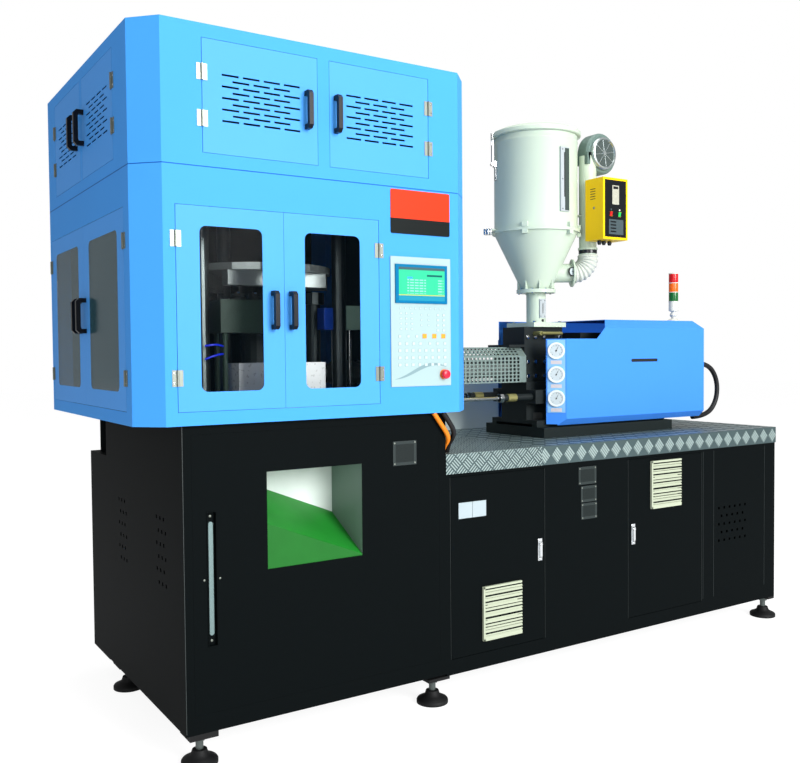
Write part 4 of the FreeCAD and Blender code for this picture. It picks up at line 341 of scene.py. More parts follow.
RUBBER = Finish("foot_rubber", RUBBER_BLACK, 0.6, specular=0.2)
ZINC = Finish("foot_zinc", rgb(90, 98, 96), 0.36, metallic=0.7)
HOSE_ORANGE = Finish("hose_orange", rgb(226, 124, 8), 0.45)
HOSE_BLACK = Finish("hose_black", rgb(16, 16, 18), 0.5, specular=0.3)
SILICONE = Finish("silicone_hose", rgb(186, 192, 184), 0.4)
VENT_CREAM = Finish("vent_cream", CREAM, 0.5, specular=0.2)
NAMEPLATE = Finish("nameplate_steel", rgb(44, 52, 52), 0.45, metallic=0.3, specular=0.2)
LABEL_WHITE = Finish("label_white", rgb(160, 174, 180), 0.45)
GAUGE_WHITE = Finish("gauge_white", rgb(184, 196, 200), 0.35)
GAUGE_RIM = Finish("gauge_rim", rgb(212, 220, 222), 0.3)
STRIP_BLUE = Finish("strip_blue", rgb(118, 172, 218), 0.4)
PLATE_ROSE = Finish("plate_rose", rgb(190, 184, 188), 0.45)
TICK_BLACK = Finish("tick_black", rgb(12, 14, 16), 0.5)
CHROME = Finish("chrome_ring", rgb(220, 224, 226), 0.08, metallic=1.0)
LAMP_RED = Finish("lamp_red", rgb(188, 10, 16), 0.25)
LAMP_AMBER = Finish("lamp_amber", rgb(226, 96, 6), 0.25)
LAMP_GREEN = Finish("lamp_green", rgb(4, 92, 36), 0.25)
LAMP_CASE = Finish("lamp_case", rgb(206, 206, 196), 0.35)
COPPER_BROWN = Finish("brass_part", rgb(142, 138, 88), 0.36, metallic=0.6)
# A pale grey sheet painted near white, so that it looks lit where it stands in the shade of the
# guard and the cabinet: its own pale colour with painted light on top.
BACK_SHEET_PAINTED_LIGHT = Finish("back_sheet_painted_light", rgb(206, 218, 212), 0.6, specular=0.1)
AIR_BLUE = Finish("air_tube_blue", rgb(8, 36, 200), 0.4)
POST_BLUE = Finish("post_blue", rgb(8, 62, 168), 0.35)
STATION_GREEN = Finish("station_green", rgb(128, 160, 146), 0.5)
EDGE_GREY = Finish("edge_grey", rgb(38, 46, 46), 0.5)


@dataclass(frozen=True)
class ShellPaint(Finish):
    """Cabinet sheet: blue outside, near black inside as painted shade, and a dark seam between the
    tiers.
    """

    low: tuple = (-0.245, -0.090, 1.380)
    high: tuple = (1.355, 1.410, 2.950)
    chamfer: float = 0.100
    skin: float = 0.0012
    seam: float = 2.395
    seam_half: float = 0.0022
    seam_strength: float = 0.85

    def paint(self, graph: Graph) -> None:
        """Part the inner side from the outer by where a point lies."""
        spot = graph.place()
        inside = 1.0 - (spot[2] > self.high[2] - self.skin) * 1.0
        for way in range(2):
            inside = inside * graph.within(spot[way], self.low[way] + self.skin,
                                           self.high[way] - self.skin)
        corner = self.chamfer + 1.5 * self.skin
        for across in (spot[0] - self.low[0], self.high[0] - spot[0]):
            for along in (spot[1] - self.low[1], self.high[1] - spot[1]):
                inside = inside * (across + along > corner)
        line = graph.within(spot[2], self.seam - self.seam_half, self.seam + self.seam_half)
        outer = graph.mix(line * self.seam_strength, self.worn(graph, self.colour), SEAM_BLUE)
        # The inner side is painted near black: painted shade for the dark inside of the cabinet.
        graph.set(Base_Color=graph.mix(inside, outer, INSIDE_SHADE))
        self.break_up(graph)


CABINET_PAINT = ShellPaint("cabinet_paint", BLUE, 0.5, grain=Grain.SPRAYED, specular=0.04)


@dataclass(frozen=True)
class Lit(Finish):
    """Plain finish that gives off a little of its own colour: painted light, for a sheet in shade
    that is no lamp.
    """

    glow: float = 0.5

    def paint(self, graph: Graph) -> None:
        """Set the colour twice, as paint and as light."""
        graph.set(Base_Color=self.colour, Emission_Color=self.colour,
                  Emission_Strength=self.glow)


# The far inner face of the cover's hood lies in shade; its blue glows as painted light.
GLOWING_HOOD_BLUE = Lit("hood_blue_glow", rgb(40, 104, 214), 0.5, glow=0.5)


@dataclass(frozen=True)
class Glazing(Finish):
    """Clear sheet that shows what stands behind it."""

    clearness: float = 0.86

    def paint(self, graph: Graph) -> None:
        """Let the sheet through, and keep its gloss."""
        graph.set(Base_Color=self.colour, Alpha=1.0 - self.clearness)


SIDE_WINDOW = Glazing("side_window_glass", rgb(52, 92, 104), 0.14, specular=0.5,
                      clearness=0.5)
WINDOW = Glazing("window_glass", rgb(16, 26, 32), 0.08, specular=0.08, clearness=0.92)


@dataclass(frozen=True)
class DoorPaint(Finish):
    """Blue door with its black handle and the bright hinge leaves that are fused on it."""

    face: float = 0.0
    across: int = 1
    skin: float = 0.0006
    leaf: float = 0.0
    leaf_side: float = 1.0
    leaf_back: float = 0.0075
    leaf_reach: float = 0.024
    leaf_thick: float = 0.0115
    leaf_rows: tuple = ()
    leaf_metallic: float = 0.75
    leaf_gloss: float = 0.14
    grip_gloss: float = 0.2

    def paint(self, graph: Graph) -> None:
        """Part the door by how far a point stands off it."""
        spot = graph.place()
        off = self.face - spot[self.across]
        along = (spot[1 - self.across] - self.leaf) * self.leaf_side
        near = graph.within(along, -self.leaf_back, self.leaf_reach) * (off > self.skin)
        first, second = (graph.within(spot[2], low, high) for low, high in self.leaf_rows)
        leaf = near * (first | second) * (off < self.leaf_thick)
        grip = (off > self.skin) * (1 - leaf)
        body = self.worn(graph, self.colour)
        colour = graph.mix(leaf, graph.mix(grip, body, HANDLE_BLACK.colour), HINGE_STEEL.colour)
        graph.set(Base_Color=colour, Metallic=leaf * self.leaf_metallic,
                  Roughness=self.roughness - leaf * self.leaf_gloss - grip * self.grip_gloss)


@dataclass(frozen=True)
class Badge(Finish):
    """Blank two-tone badge plate: warm above, black below."""

    split: float = 2.258
    below: tuple = rgb(9, 16, 16)

    def paint(self, graph: Graph) -> None:
        """Part the plate at its split."""
        level = graph.place()[2]
        graph.set(Base_Color=graph.mix(level > self.split, self.below, self.colour))


@dataclass(frozen=True)
class ChuteLining(Finish):
    """Pale lining with the green floor in it, with painted shade on the walls that face left and
    on the floor's front face.
    """

    mouth: float = -0.05
    slope: float = 0.5
    stain: tuple = rgb(150, 165, 158)
    stain_strength: float = 0.35
    shade: tuple = rgb(58, 92, 78)
    shade_strength: float = 0.85
    greens: tuple = (rgb(18, 104, 30), rgb(34, 138, 44))
    front_green_shade: tuple = rgb(4, 40, 10)
    front_shade_strength: float = 0.42

    def paint(self, graph: Graph) -> None:
        """Green on what faces up, and on the floor's front."""
        right, out, up = graph.facing()
        front = out < -self.slope
        floor = (up > self.slope) | (front * (graph.place()[1] < self.mouth))
        cloud = graph.noise(9.0, 5.0) * self.stain_strength
        lining = graph.mix(cloud, self.colour, self.stain)
        lining = graph.mix((right < -self.slope) * self.shade_strength, lining, self.shade)
        green = graph.mix(graph.noise(5.0, 4.0), *self.greens)
        # Painted shade: the green of the floor's front face is darkened.
        green = graph.mix(front * self.front_shade_strength, green, self.front_green_shade)
        graph.set(Base_Color=graph.mix(floor, lining, green), Roughness=0.45)


@dataclass(frozen=True)
class TreadPlate(Finish):
    """Rolled tread plate: bars in alternate squares left of the seam, lozenges right of it."""

    seam: float = 1.788
    pitch: float = 0.052
    bars_in_square: float = 4.0
    bar: tuple = (0.28, 0.74)
    bar_reach: float = 0.42
    lozenge: float = 0.084
    lozenge_size: float = 0.44
    row: float = 0.095
    row_start: float = 0.070
    strokes: float = 5.0
    stroke_gap: float = 0.3
    ground: tuple = rgb(66, 84, 86)
    ground_roughness: float = 0.42
    raised_gloss: float = 0.14
    relief: float = 0.0018

    def bars(self, graph: Graph, first: Link, second: Link) -> Link:
        """Four bars in each square, turned from one square to the next.

        Args:
            graph: The material's graph.
            first: The distance along one diagonal.
            second: The distance along the other.

        Returns:
            The mask of the bars.
        """
        across, along = first / self.pitch, second / self.pitch
        turned = ((across % 2.0 > 1.0) + (along % 2.0 > 1.0)) % 2.0
        one, two = ((way * self.bars_in_square) % 1.0 for way in (across, along))
        lines = turned * one + (1 - turned) * two
        edge = (turned * (along % 1.0) + (1 - turned) * (across % 1.0)).distance(0.5)
        return graph.within(lines, *self.bar) * (edge < self.bar_reach)

    def lozenges(self, first: Link, second: Link) -> Link:
        """Upright lozenges in a row, each of slanting strokes.

        Args:
            first: The distance along the row.
            second: The distance across it.

        Returns:
            The mask of the strokes.
        """
        across = first / self.lozenge
        along = (second - self.row_start) / self.row
        here = (across % 1.0).distance(0.5) + (along % 1.0).distance(0.5)
        return (here < self.lozenge_size) * (((across + along) * self.strokes) % 1.0
                                             > self.stroke_gap)

    def paint(self, graph: Graph) -> None:
        """Raise the pattern, lighter than the ground."""
        long, deep, level = graph.place()
        up = deep + level
        half = math.sqrt(0.5)
        left = self.bars(graph, (long + up) * half, (long - up) * half)
        side = long > self.seam
        raised = side * self.lozenges(long, up) + (1 - side) * left
        tone = graph.mix(raised, self.ground, self.colour)
        graph.set(Base_Color=self.worn(graph, tone),
                  Roughness=self.ground_roughness - raised * self.raised_gloss)
        graph.bump(raised, self.relief)


@dataclass(frozen=True)
class Display(Finish):
    """Lit screen: rows of pale fields on green, a dark bar above and a blue one below."""

    low: tuple = (0.900, 1.880)
    size: tuple = (0.281, 0.174)
    picture: tuple = ((0.06, 0.95), (0.07, 0.93))
    bands: tuple = (
        (0.86, 1.0, rgb(60, 86, 90)), (0.07, 0.2, rgb(34, 126, 152)),
        (0.2, 0.225, rgb(160, 170, 90)),
    )
    columns: tuple = ((0.22, 0.58), (0.8, 0.92))
    row_span: tuple = (0.25, 0.62)
    row_count: float = 14.0
    row_ink: tuple = (0.25, 0.7)
    field_count: float = 11.0
    field_ink: float = 0.8
    field_colour: tuple = rgb(160, 220, 196)
    field_strength: float = 0.55
    marks: tuple = (
        ((0.6, 0.9), (0.7, 0.75), rgb(24, 84, 80)),
        ((0.22, 0.32), (0.64, 0.68), rgb(60, 140, 226)),
    )
    glow: float = 0.12

    def paint(self, graph: Graph) -> None:
        """Draw the fields by where they are on the screen."""
        across, _, level = graph.place()
        right = (across - self.low[0]) / self.size[0]
        up = (level - self.low[1]) / self.size[1]
        picture: Value = self.colour
        for low, high, colour in self.bands:
            picture = graph.mix(graph.within(up, low, high), picture, colour)
        rows = graph.within((up * self.row_count) % 1.0, *self.row_ink)
        rows = rows * graph.within(up, *self.row_span)
        first, second = (graph.within(right, *column) for column in self.columns)
        fields = rows * (first | second) * ((right * self.field_count) % 1.0 < self.field_ink)
        picture = graph.mix(fields * self.field_strength, picture, self.field_colour)
        for wide, high, colour in self.marks:
            mark = graph.within(right, *wide) * graph.within(up, *high)
            picture = graph.mix(mark, picture, colour)
        inside = graph.within(right, *self.picture[0]) * graph.within(up, *self.picture[1])
        shown = graph.mix(inside, BEZEL_BLUE.colour, picture)
        graph.set(Base_Color=shown, Emission_Color=shown, Roughness=0.15,
                  Emission_Strength=self.glow)


SCREEN = Display("screen_picture", rgb(50, 172, 130), 0.3, specular=0.1)
TREAD = TreadPlate("tread_plate_look", rgb(158, 176, 174), 0.36, metallic=0.4)
CHUTE = ChuteLining("chute_lining", rgb(222, 230, 226), 0.5, specular=0.2)
BADGE = Badge("badge_plate", rgb(212, 50, 18), 0.45, specular=0.1)


# ---- shapes


def circle(sides: int) -> list[tuple[float, float]]:
    """Cosine and sine of the corners of a regular polygon."""
    angles = [2 * math.pi * index / sides for index in range(sides)]
    return [(math.cos(angle), math.sin(angle)) for angle in angles]


def arc(middle: Point, radius: float, start: float, sweep: float, steps: int) -> list[Point]:
    """Points of an arc.

    Args:
        middle: Its centre.
        radius: Its radius.
        start: Where it starts, in degrees.
        sweep: How far it turns, in degrees.
        steps: How many chords stand for it.

    Returns:
        The points, both ends with them.
    """
    angles = [math.radians(start + sweep * step / steps) for step in range(steps + 1)]
    return [(middle[0] + radius * math.cos(angle), middle[1] + radius * math.sin(angle))
            for angle in angles]


def walls(count: int, sides: int, closed: bool = False) -> list[tuple[int, ...]]:
    """Faces between rings of points.

    Args:
        count: How many rings there are.
        sides: How many points each has.
        closed: Whether the last ring joins the first.

    Returns:
        The faces, ring by ring.
    """
    faces = []
    for ring in range(count if closed else count - 1):
        low, high = ring * sides, (ring + 1) % count * sides
        for index in range(sides):
            after = (index + 1) % sides
            faces.append((low + index, low + after, high + after, high + index))
    return faces


def caps(count: int, sides: int) -> list[tuple[int, ...]]:
    """The two end faces of rings of points."""
    top = (count - 1) * sides
    return [tuple(reversed(range(sides))), tuple(range(top, top + sides))]


class Head(Enum):
    """Radius and height of the rings of small turned heads."""

    COUNTERSUNK = ((0.004, 0), (0.0036, 0.0008), (0.001, 0.0010))
    RIVET = ((0.0045, 0), (0.004, 0.0015), (0.001, 0.002))
    PULL_SCREW = ((0.006, 0), (0.005, 0.0015), (0.001, 0.002))
    PANEL_SCREW = ((0.005, 0), (0.004, 0.0012), (0.001, 0.0016))
    STRIP_SCREW = ((0.0045, 0), (0.004, 0.0015))
    SLIDE_SCREW = ((0.003, 0), (0.0025, 0.001))
    DISC_SCREW = ((0.0045, 0), (0.0045, 0.004))
    SLIDE_KNOB = ((0.008, 0), (0.008, 0.004))
    NECK_BOLT = ((0.010, 0), (0.010, 0.008))
    CONE_BOLT = ((0.006, 0), (0.006, 0.030))
    THROAT_BOLT = ((0.011, 0), (0.011, 0.010), (0.007, 0.011))
    FASCIA_LAMP = ((0.0055, 0), (0.0045, 0.002))
    CABLE_GLAND = ((0.012, 0), (0.012, 0.014), (0.008, 0.024))
    SIDE_PLUG = ((0.008, 0), (0.006, 0.002))
    KEY_CAP = ((0.009, 0), (0.009, 0.003), (0.006, 0.004))
    LEVER_CAP = ((0.0085, 0), (0.0085, 0.002))


class Form:
    """Points and faces that grow into one piece."""

    def __init__(self, *finishes: Finish) -> None:
        """Start empty, with the finishes that faces are marked with."""
        self.finishes = finishes
        self.points: list[Vector] = []
        self.faces: list[tuple[int, ...]] = []
        self.marks: list[int] = []
        self.frame = Matrix()

    def add(self, points: Iterable[Point], faces: Iterable[Sequence[int]], mark: int) -> None:
        """Take in points and faces.

        Args:
            points: Points, which the form's frame moves.
            faces: Faces among them.
            mark: The finish's number.
        """
        first = len(self.points)
        self.points += [self.frame @ Vector(point) for point in points]
        for face in faces:
            self.faces.append(tuple(first + index for index in face))
            self.marks.append(mark)

    def block(self, low: Point, high: Point, mark: int = 0) -> None:
        """A box between its lowest and its highest corner."""
        spots = [(x, y, z) for z in (low[2], high[2]) for y in (low[1], high[1])
                 for x in (low[0], high[0])]
        self.add(spots, ((0, 2, 3, 1), (4, 5, 7, 6), (0, 1, 5, 4), (2, 6, 7, 3),
                          (0, 4, 6, 2), (1, 3, 7, 5)), mark)

    def turn(self, profile: Sequence[Point], at: Point, way: Point = UP, sides: int = 48,
             mark: int = 0) -> None:
        """Turn a profile about an axis.

        Args:
            profile: Radius and height of each ring, from one end to the other.
            at: Where height 0 is on the axis.
            way: The axis's direction.
            sides: How many flats stand for the circle.
            mark: The finish's number.
        """
        spin = Vector(way).to_track_quat("Z", "Y").to_matrix().to_4x4()
        home = Matrix.Translation(Vector(at)) @ spin
        spots = [home @ Vector((radius * right, radius * up, height))
                 for radius, height in profile for right, up in circle(sides)]
        self.add(spots, walls(len(profile), sides) + caps(len(profile), sides), mark)

    def heads(self, head: Head, spots: Iterable[Point], way: Point = FRONT, sides: int = 10,
              mark: int = 0) -> None:
        """The same small head at several places."""
        for spot in spots:
            self.turn(head.value, spot, way, sides, mark)

    def rod(self, start: Point, end: Point, radius: float, sides: int = 16,
            mark: int = 0) -> None:
        """A round bar from one point to another."""
        way = Vector(end) - Vector(start)
        self.turn(((radius, 0), (radius, way.length)), start, way, sides, mark)

    def extrude(self, outline: Sequence[Point], start: Point, across: Point, up: Point,
                deep: float, mark: int = 0) -> None:
        """Pad an outline.

        Args:
            outline: Its corners, along across and up.
            start: Where the outline's origin lies.
            across: The direction of its first coordinate.
            up: The direction of its second coordinate.
            deep: How far it is padded, along across x up.
            mark: The finish's number.
        """
        first, second = Vector(across), Vector(up)
        push = first.cross(second).normalized() * deep
        ring = [Vector(start) + first * spot[0] + second * spot[1] for spot in outline]
        faces = caps(2, len(ring)) + walls(2, len(ring))
        self.add(ring + [spot + push for spot in ring], faces, mark)

    def sweep(self, route: Sequence[Point], radius: float, sides: int = 12,
              mark: int = 0) -> None:
        """Add a round tube.

        Args:
            route: Points on its middle line that lie close together.
            radius: Its radius.
            sides: How many flats stand for the circle.
            mark: The finish's number.
        """
        spots = [Vector(spot) for spot in route]
        points: list[Vector] = []
        side = (spots[1] - spots[0]).orthogonal()
        for index, spot in enumerate(spots):
            ahead = spots[min(index + 1, len(spots) - 1)] - spots[max(index - 1, 0)]
            ahead.normalize()
            side = (side - ahead * side.dot(ahead)).normalized()
            other = ahead.cross(side)
            points += [spot + (side * right + other * up) * radius
                       for right, up in circle(sides)]
        self.add(points, walls(len(spots), sides) + caps(len(spots), sides), mark)

    def piece(self, name: str, body: str, replaces: Sequence[str] = (),
              soften: float = 0.0) -> bpy.types.Object:
        """Make the piece and seat it on a body.

        Args:
            name: The piece's name.
            body: The body that it rides on.
            replaces: The nodes that it stands for.
            soften: The radius of its edges.

        Returns:
            The piece.
        """
        mesh = bpy.data.meshes.new(name)
        mesh.from_pydata([tuple(point) for point in self.points], [], self.faces)
        mesh.validate()
        obj = bpy.data.objects.new(name, mesh)
        bpy.context.scene.collection.objects.link(obj)
        for finish in self.finishes:
            mesh.materials.append(finish.material())
        for face, mark in zip(mesh.polygons, self.marks):
            face.material_index = mark
        mesh.shade_smooth()
        mesh.set_sharp_from_angle(angle=math.radians(SHARP_FROM))
        if soften:
            bevel = obj.modifiers.new("Soften", "BEVEL")
            bevel.width = soften
            bevel.segments = 2
            bevel.limit_method = "ANGLE"
        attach(obj, body)
        if replaces:
            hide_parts(*replaces)
        log.info("piece %s on %s: %d faces", name, body, len(self.faces))
        return obj


def dress(finish: Finish, *nodes: str) -> None:
    """Give CAD nodes a finish, on the objects and not in their meshes.

    Args:
        finish: The finish.
        *nodes: The nodes' names.
    """
    for node in nodes:
        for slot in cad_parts[node].material_slots:
            slot.link = "OBJECT"
            slot.material = finish.material()
        log.info("node %s: %s", node, finish.name)


def corners(node: str) -> tuple[Vector, Vector]:
    """A node's lowest and highest corner."""
    low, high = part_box(node)
    return Vector(low), Vector(high)


# ---- blue press cabinet


@dataclass
class Cabinet:
    """Two tiers of blue sheet with eight doors."""

    front: float = -0.090
    left: float = -0.245
    door_levels: tuple = (1.435, 2.240)
    vent_levels: tuple = (2.450, 2.894)
    hinge_high: float = 0.064
    hinge_from_edge: float = 0.100
    leaf_thick: float = 0.0022
    screw_from_pin: float = 0.014
    screw_shares: tuple = (0.2, 0.8)
    hinge_edges: dict = field(default_factory=lambda: {
        "front_door_left": (0, -0.09575, 1), "front_door_right": (0, 0.82175, -1),
        "vent_door_left": (0, 0.02025, 1), "vent_door_right": (0, 1.08975, -1),
        "side_door_rear": (1, 1.37575, -1), "side_door_front": (1, 0.08425, 1),
        "side_vent_rear": (1, 1.25075, -1), "side_vent_front": (1, 0.20925, 1),
    })

    def build(self) -> None:
        """Finish shells, doors, panes and hinges."""
        dress(CABINET_PAINT, "cabinet_lower", "cabinet_upper")
        dress(HINGE_STEEL, "cabinet_hinges")
        for name, (axis, edge, side) in self.hinge_edges.items():
            dress(DoorPaint(
                "paint_" + name, BLUE, 0.5, specular=0.16,
                face=self.front if axis == 0 else self.left, leaf=edge, leaf_side=side,
                across=1 - axis, leaf_rows=self.hinge_rows(name),
            ), name)
        dress(WINDOW, "front_window_left", "front_window_right")
        dress(SIDE_WINDOW, "side_window_rear", "side_window_front")
        self.screws()

    def hinge_rows(self, name: str) -> tuple:
        """Where a door's two hinges start and end in height.

        Args:
            name: The door's node.

        Returns:
            The lower and upper end of each hinge.
        """
        low, high = self.vent_levels if "vent" in name else self.door_levels
        first = low + self.hinge_from_edge
        second = high - self.hinge_from_edge - self.hinge_high
        return (first, first + self.hinge_high), (second, second + self.hinge_high)

    def screws(self) -> None:
        """Countersunk screws in the fixed leaves of the hinges."""
        form = Form(CHROME)
        for name, (axis, edge, side) in self.hinge_edges.items():
            along = edge - side * self.screw_from_pin
            levels = [start + share * self.hinge_high for start, _ in self.hinge_rows(name)
                      for share in self.screw_shares]
            if axis == 0:
                form.heads(Head.COUNTERSUNK,
                           [(along, self.front - self.leaf_thick, level) for level in levels])
            else:
                form.heads(Head.COUNTERSUNK, [(self.left - self.leaf_thick, along, level)
                                              for level in levels], LEFT)
        form.piece("hinge_screws", "frame")


@dataclass(frozen=True)
class KeyRows:
    """Rows of equal keys, placed in shares of the plate."""

    down: float
    count: int
    start: float
    end: float
    scale: float
    rows: int = 1
    pitch: float = 0.0


@dataclass
class OperatorPanel:
    """Keypad plate with its screen, keys and stop button."""

    left: float = 0.878
    low: float = 1.506
    wide: float = 0.325
    high: float = 0.582
    face: float = -0.096
    key: float = 0.014
    key_shape: float = 0.9
    key_edge: float = 0.0011
    key_rows: tuple = (
        KeyRows(0.395, 10, 0.15, 0.9, 0.5), KeyRows(0.435, 3, 0.16, 0.34, 0.62, 4, 0.04),
        KeyRows(0.445, 2, 0.78, 0.88, 0.8, 4, 0.04), KeyRows(0.445, 2, 0.5, 0.62, 0.5, 3, 0.04),
        KeyRows(0.612, 3, 0.14, 0.42, 0.9), KeyRows(0.668, 4, 0.14, 0.48, 1.0),
        KeyRows(0.668, 3, 0.64, 0.9, 0.9), KeyRows(0.722, 8, 0.14, 0.9, 1.0, 3, 0.055),
    )
    orange_keys: tuple = (0.55, 0.715, 0.87)
    orange_down: float = 0.61
    orange_scale: float = 1.55
    wave_steps: int = 24
    wave_span: tuple = (0.06, 0.86, 0.05775)
    wave_rise: tuple = (0.060, 0.62)
    wave_thick: tuple = (0.001, 0.016)
    cap_foot: float = 0.033
    cap: tuple = (
        (0.0118, -0.0055), (0.0118, 0.012), (0.019, 0.0125), (0.021, 0.016),
        (0.0205, 0.026), (0.017, 0.0305), (0.010, 0.0325), (0.001, 0.0328),
    )
    collar: tuple = ((0.0225, 0), (0.0225, 0.004), (0.0165, 0.0045), (0.0165, 0))

    def build(self) -> None:
        """Finish the plate, draw the keys and stand the stop button on its collar."""
        dress(PANEL_FACE, "operator_panel")
        dress(SCREEN, "screen")
        self.keys()
        self.stop()

    def keys(self) -> None:
        """Rows of flat keys, three of them orange."""
        form = Form(KEY_PALE, KEY_ORANGE, KEY_EDGE)
        for keys in self.key_rows:
            for row in range(keys.rows):
                for index in range(keys.count):
                    right = keys.start + (keys.end - keys.start) * index / (keys.count - 1)
                    self.key_at(form, right, keys.down + keys.pitch * row, keys.scale, 0)
        for right in self.orange_keys:
            self.key_at(form, right, self.orange_down, self.orange_scale, 1)
        self.wave(form)
        form.piece("panel_keys", "frame")

    def key_at(self, form: Form, right: float, down: float, scale: float, mark: int) -> None:
        """One key on its darker edge.

        Args:
            form: What the key is added to.
            right: Its middle, as a share of the plate's width.
            down: The same for the height, from the top.
            scale: Its size, against the usual key.
            mark: The finish's number.
        """
        across, level = self.left + right * self.wide, self.low + (1 - down) * self.high
        half = self.key * scale / 2
        for reach, near, far, finish in (
            (half + self.key_edge, 0.0005, -0.0005, 2), (half, 0.0012, 0.0004, mark),
        ):
            form.block((across - reach, self.face - near, level - reach * self.key_shape),
                       (across + reach, self.face - far, level + reach * self.key_shape), finish)

    def wave(self, form: Form) -> None:
        """Pale ribbon that rises to the right under the keys."""
        upper, lower = [], []
        (start, run, low), (rise, bend), (thin, more) = (
            self.wave_span, self.wave_rise, self.wave_thick)
        for step in range(self.wave_steps + 1):
            share = step / self.wave_steps
            across = (start + run * share) * self.wide
            level = low * self.high + rise * math.sin(share * math.pi * bend) ** 2
            thick = thin + more * math.sin(share * math.pi)
            lower.append((across, level))
            upper.append((across, level + thick))
        form.extrude(lower + upper[::-1], (self.left, self.face + SKIN, self.low), RIGHT, UP,
                     0.0006, 2)

    def stop(self) -> None:
        """Mushroom cap in place of the plain one, and its yellow collar."""
        low, high = corners("stop_button")
        middle = (low + high) / 2
        cap = Form(STOP_RED)
        cap.turn(self.cap, (middle.x, low.y + self.cap_foot, middle.z), FRONT, 40)
        cap.piece("stop_cap", "stop_button", replaces=["stop_button"])
        collar = Form(COLLAR_YELLOW)
        collar.turn(self.collar, (middle.x, self.face, middle.z), FRONT, 40)
        collar.piece("stop_collar", "frame")


# ---- bases


@dataclass
class TowerBase:
    """Black base under the cabinet, with the badge, the nameplates and all the feet."""

    front: float = -0.060
    trough: tuple = (0.022, 0.064, 0.485, 1.030)
    pull_back: float = 0.0165
    pull_half: float = 0.010
    pull_from_end: float = 0.052
    pull_thick: float = 0.006
    screw_back: float = 0.0155
    screw_from_end: float = 0.020
    screw_from_side: float = 0.012
    badge_box: tuple = (0.883, 2.190, 0.320, 0.196)
    badge_back: float = -0.0921
    badge_corner: float = 0.008
    badge_thick: float = 0.0012
    nameplates: tuple = (
        (0.904, 1.148, 0.126, 0.110), (2.040, 0.963, 0.126, 0.092),
        (2.056, 0.870, 0.112, 0.084), (2.058, 0.780, 0.112, 0.084),
    )
    nameplate_thick: float = 0.002
    nameplate_rim: float = 0.014
    rivet_from_edge: float = 0.008
    worn: float = 0.0006
    post: tuple = (-0.0740, -0.0715, 0.150, 1.376)
    feet_at: tuple = (
        (0.0, 0.140, 0.060, 0.060), (1.150, 0.130, 0.060, 0.060), (3.655, 0.130, 0.030, 0.029),
    )
    feet_rows: tuple = (0.0, 1.0)
    plate_low: float = 0.116
    plate_half: float = 0.060
    pad: tuple = (
        (0.075, 0.0), (0.075, 0.014), (0.071, 0.020), (0.048, 0.030),
        (0.036, 0.040), (0.030, 0.058), (0.024, 0.060),
    )
    stem: tuple = (0.016, 0.055)
    nut: tuple = (0.026, 0.020, 0.002)

    def build(self) -> None:
        """Finish the base and its fittings."""
        dress(BASE_PAINT, "tower_base", "front_panel", "rear_box")
        dress(CHUTE, "take_out_chute")
        dress(NAMEPLATE, "blank_plates")
        self.badge()
        self.plates()
        self.post_edge()
        self.pull()
        self.feet()

    def badge(self) -> None:
        """Blank two-tone plate over the cabinet's badge seat."""
        left, low, wide, high = self.badge_box
        radius = self.badge_corner
        outline = []
        for right, up, start in ((wide - radius, high - radius, 0), (radius, high - radius, 90),
                                 (radius, radius, 180), (wide - radius, radius, 270)):
            outline += arc((right, up), radius, start, 90, 5)
        form = Form(BADGE)
        form.extrude(outline, (left, self.badge_back, low), RIGHT, UP, self.badge_thick)
        form.piece("badge_face", "frame")

    def plates(self) -> None:
        """Rims and rivets of the bare nameplates."""
        form = Form(HINGE_STEEL, BEAM_PAINT)
        face = self.front - self.nameplate_thick
        inset, rim = self.rivet_from_edge, self.nameplate_rim
        for left, low, wide, high in self.nameplates:
            form.heads(Head.RIVET, [
                (left + right, face, low + up)
                for right in (inset, wide - inset) for up in (inset, high - inset)
            ])
            form.block((left + rim, face - self.worn, low + rim),
                       (left + wide - rim, face, low + high - rim), 1)
        form.piece("nameplate_rivets", "frame")

    def post_edge(self) -> None:
        """Worn edge of the corner post beside the front panel."""
        left, right, low, high = self.post
        form = Form(EDGE_GREY)
        form.block((left, self.front - self.worn, low), (right, self.front, high))
        form.piece("post_edge", "frame")

    def pull(self) -> None:
        """Bright pull in the long trough, and four screws."""
        left, right, low, high = self.trough
        middle, end = (left + right) / 2, self.pull_from_end
        form = Form(HINGE_STEEL, TROUGH_STEEL)
        form.heads(Head.PULL_SCREW, [
            (middle, self.front + self.screw_back, up)
            for up in (low + self.screw_from_end, high - self.screw_from_end)
        ], sides=12)
        outline = (arc((0, low + end), self.pull_half, 180, 180, 8)
                   + arc((0, high - end), self.pull_half, 0, 180, 8))
        form.extrude(outline, (middle, self.front + self.pull_back, 0), RIGHT, UP,
                     self.pull_thick, 1)
        form.heads(Head.PANEL_SCREW, [
            (side, self.front, (low + high) / 2)
            for side in (left - self.screw_from_side, right + self.screw_from_side)
        ], sides=12)
        form.piece("trough_pull", "frame", soften=0.0015)

    def feet(self) -> None:
        """Turned rubber pads and threaded stems in place of the faceted ones."""
        form = Form(RUBBER, ZINC)
        plate, half = self.plate_low, self.plate_half
        stem, stem_low = self.stem
        nut, nut_low, nut_high = self.nut
        for x, lift, left, right in self.feet_at:
            for y in self.feet_rows:
                at = (x, y, 0)
                form.turn(self.pad, at, sides=40)
                form.turn(((stem, stem_low), (stem, plate)), at, sides=20, mark=1)
                form.turn(((nut, plate - nut_low), (nut, plate - nut_high)), at, sides=6, mark=1)
                form.block((x - left, y - half, plate), (x + right, y + half, lift), 0)
        form.piece("levelling_feet_turned", "frame",
                   replaces=["levelling_feet"])


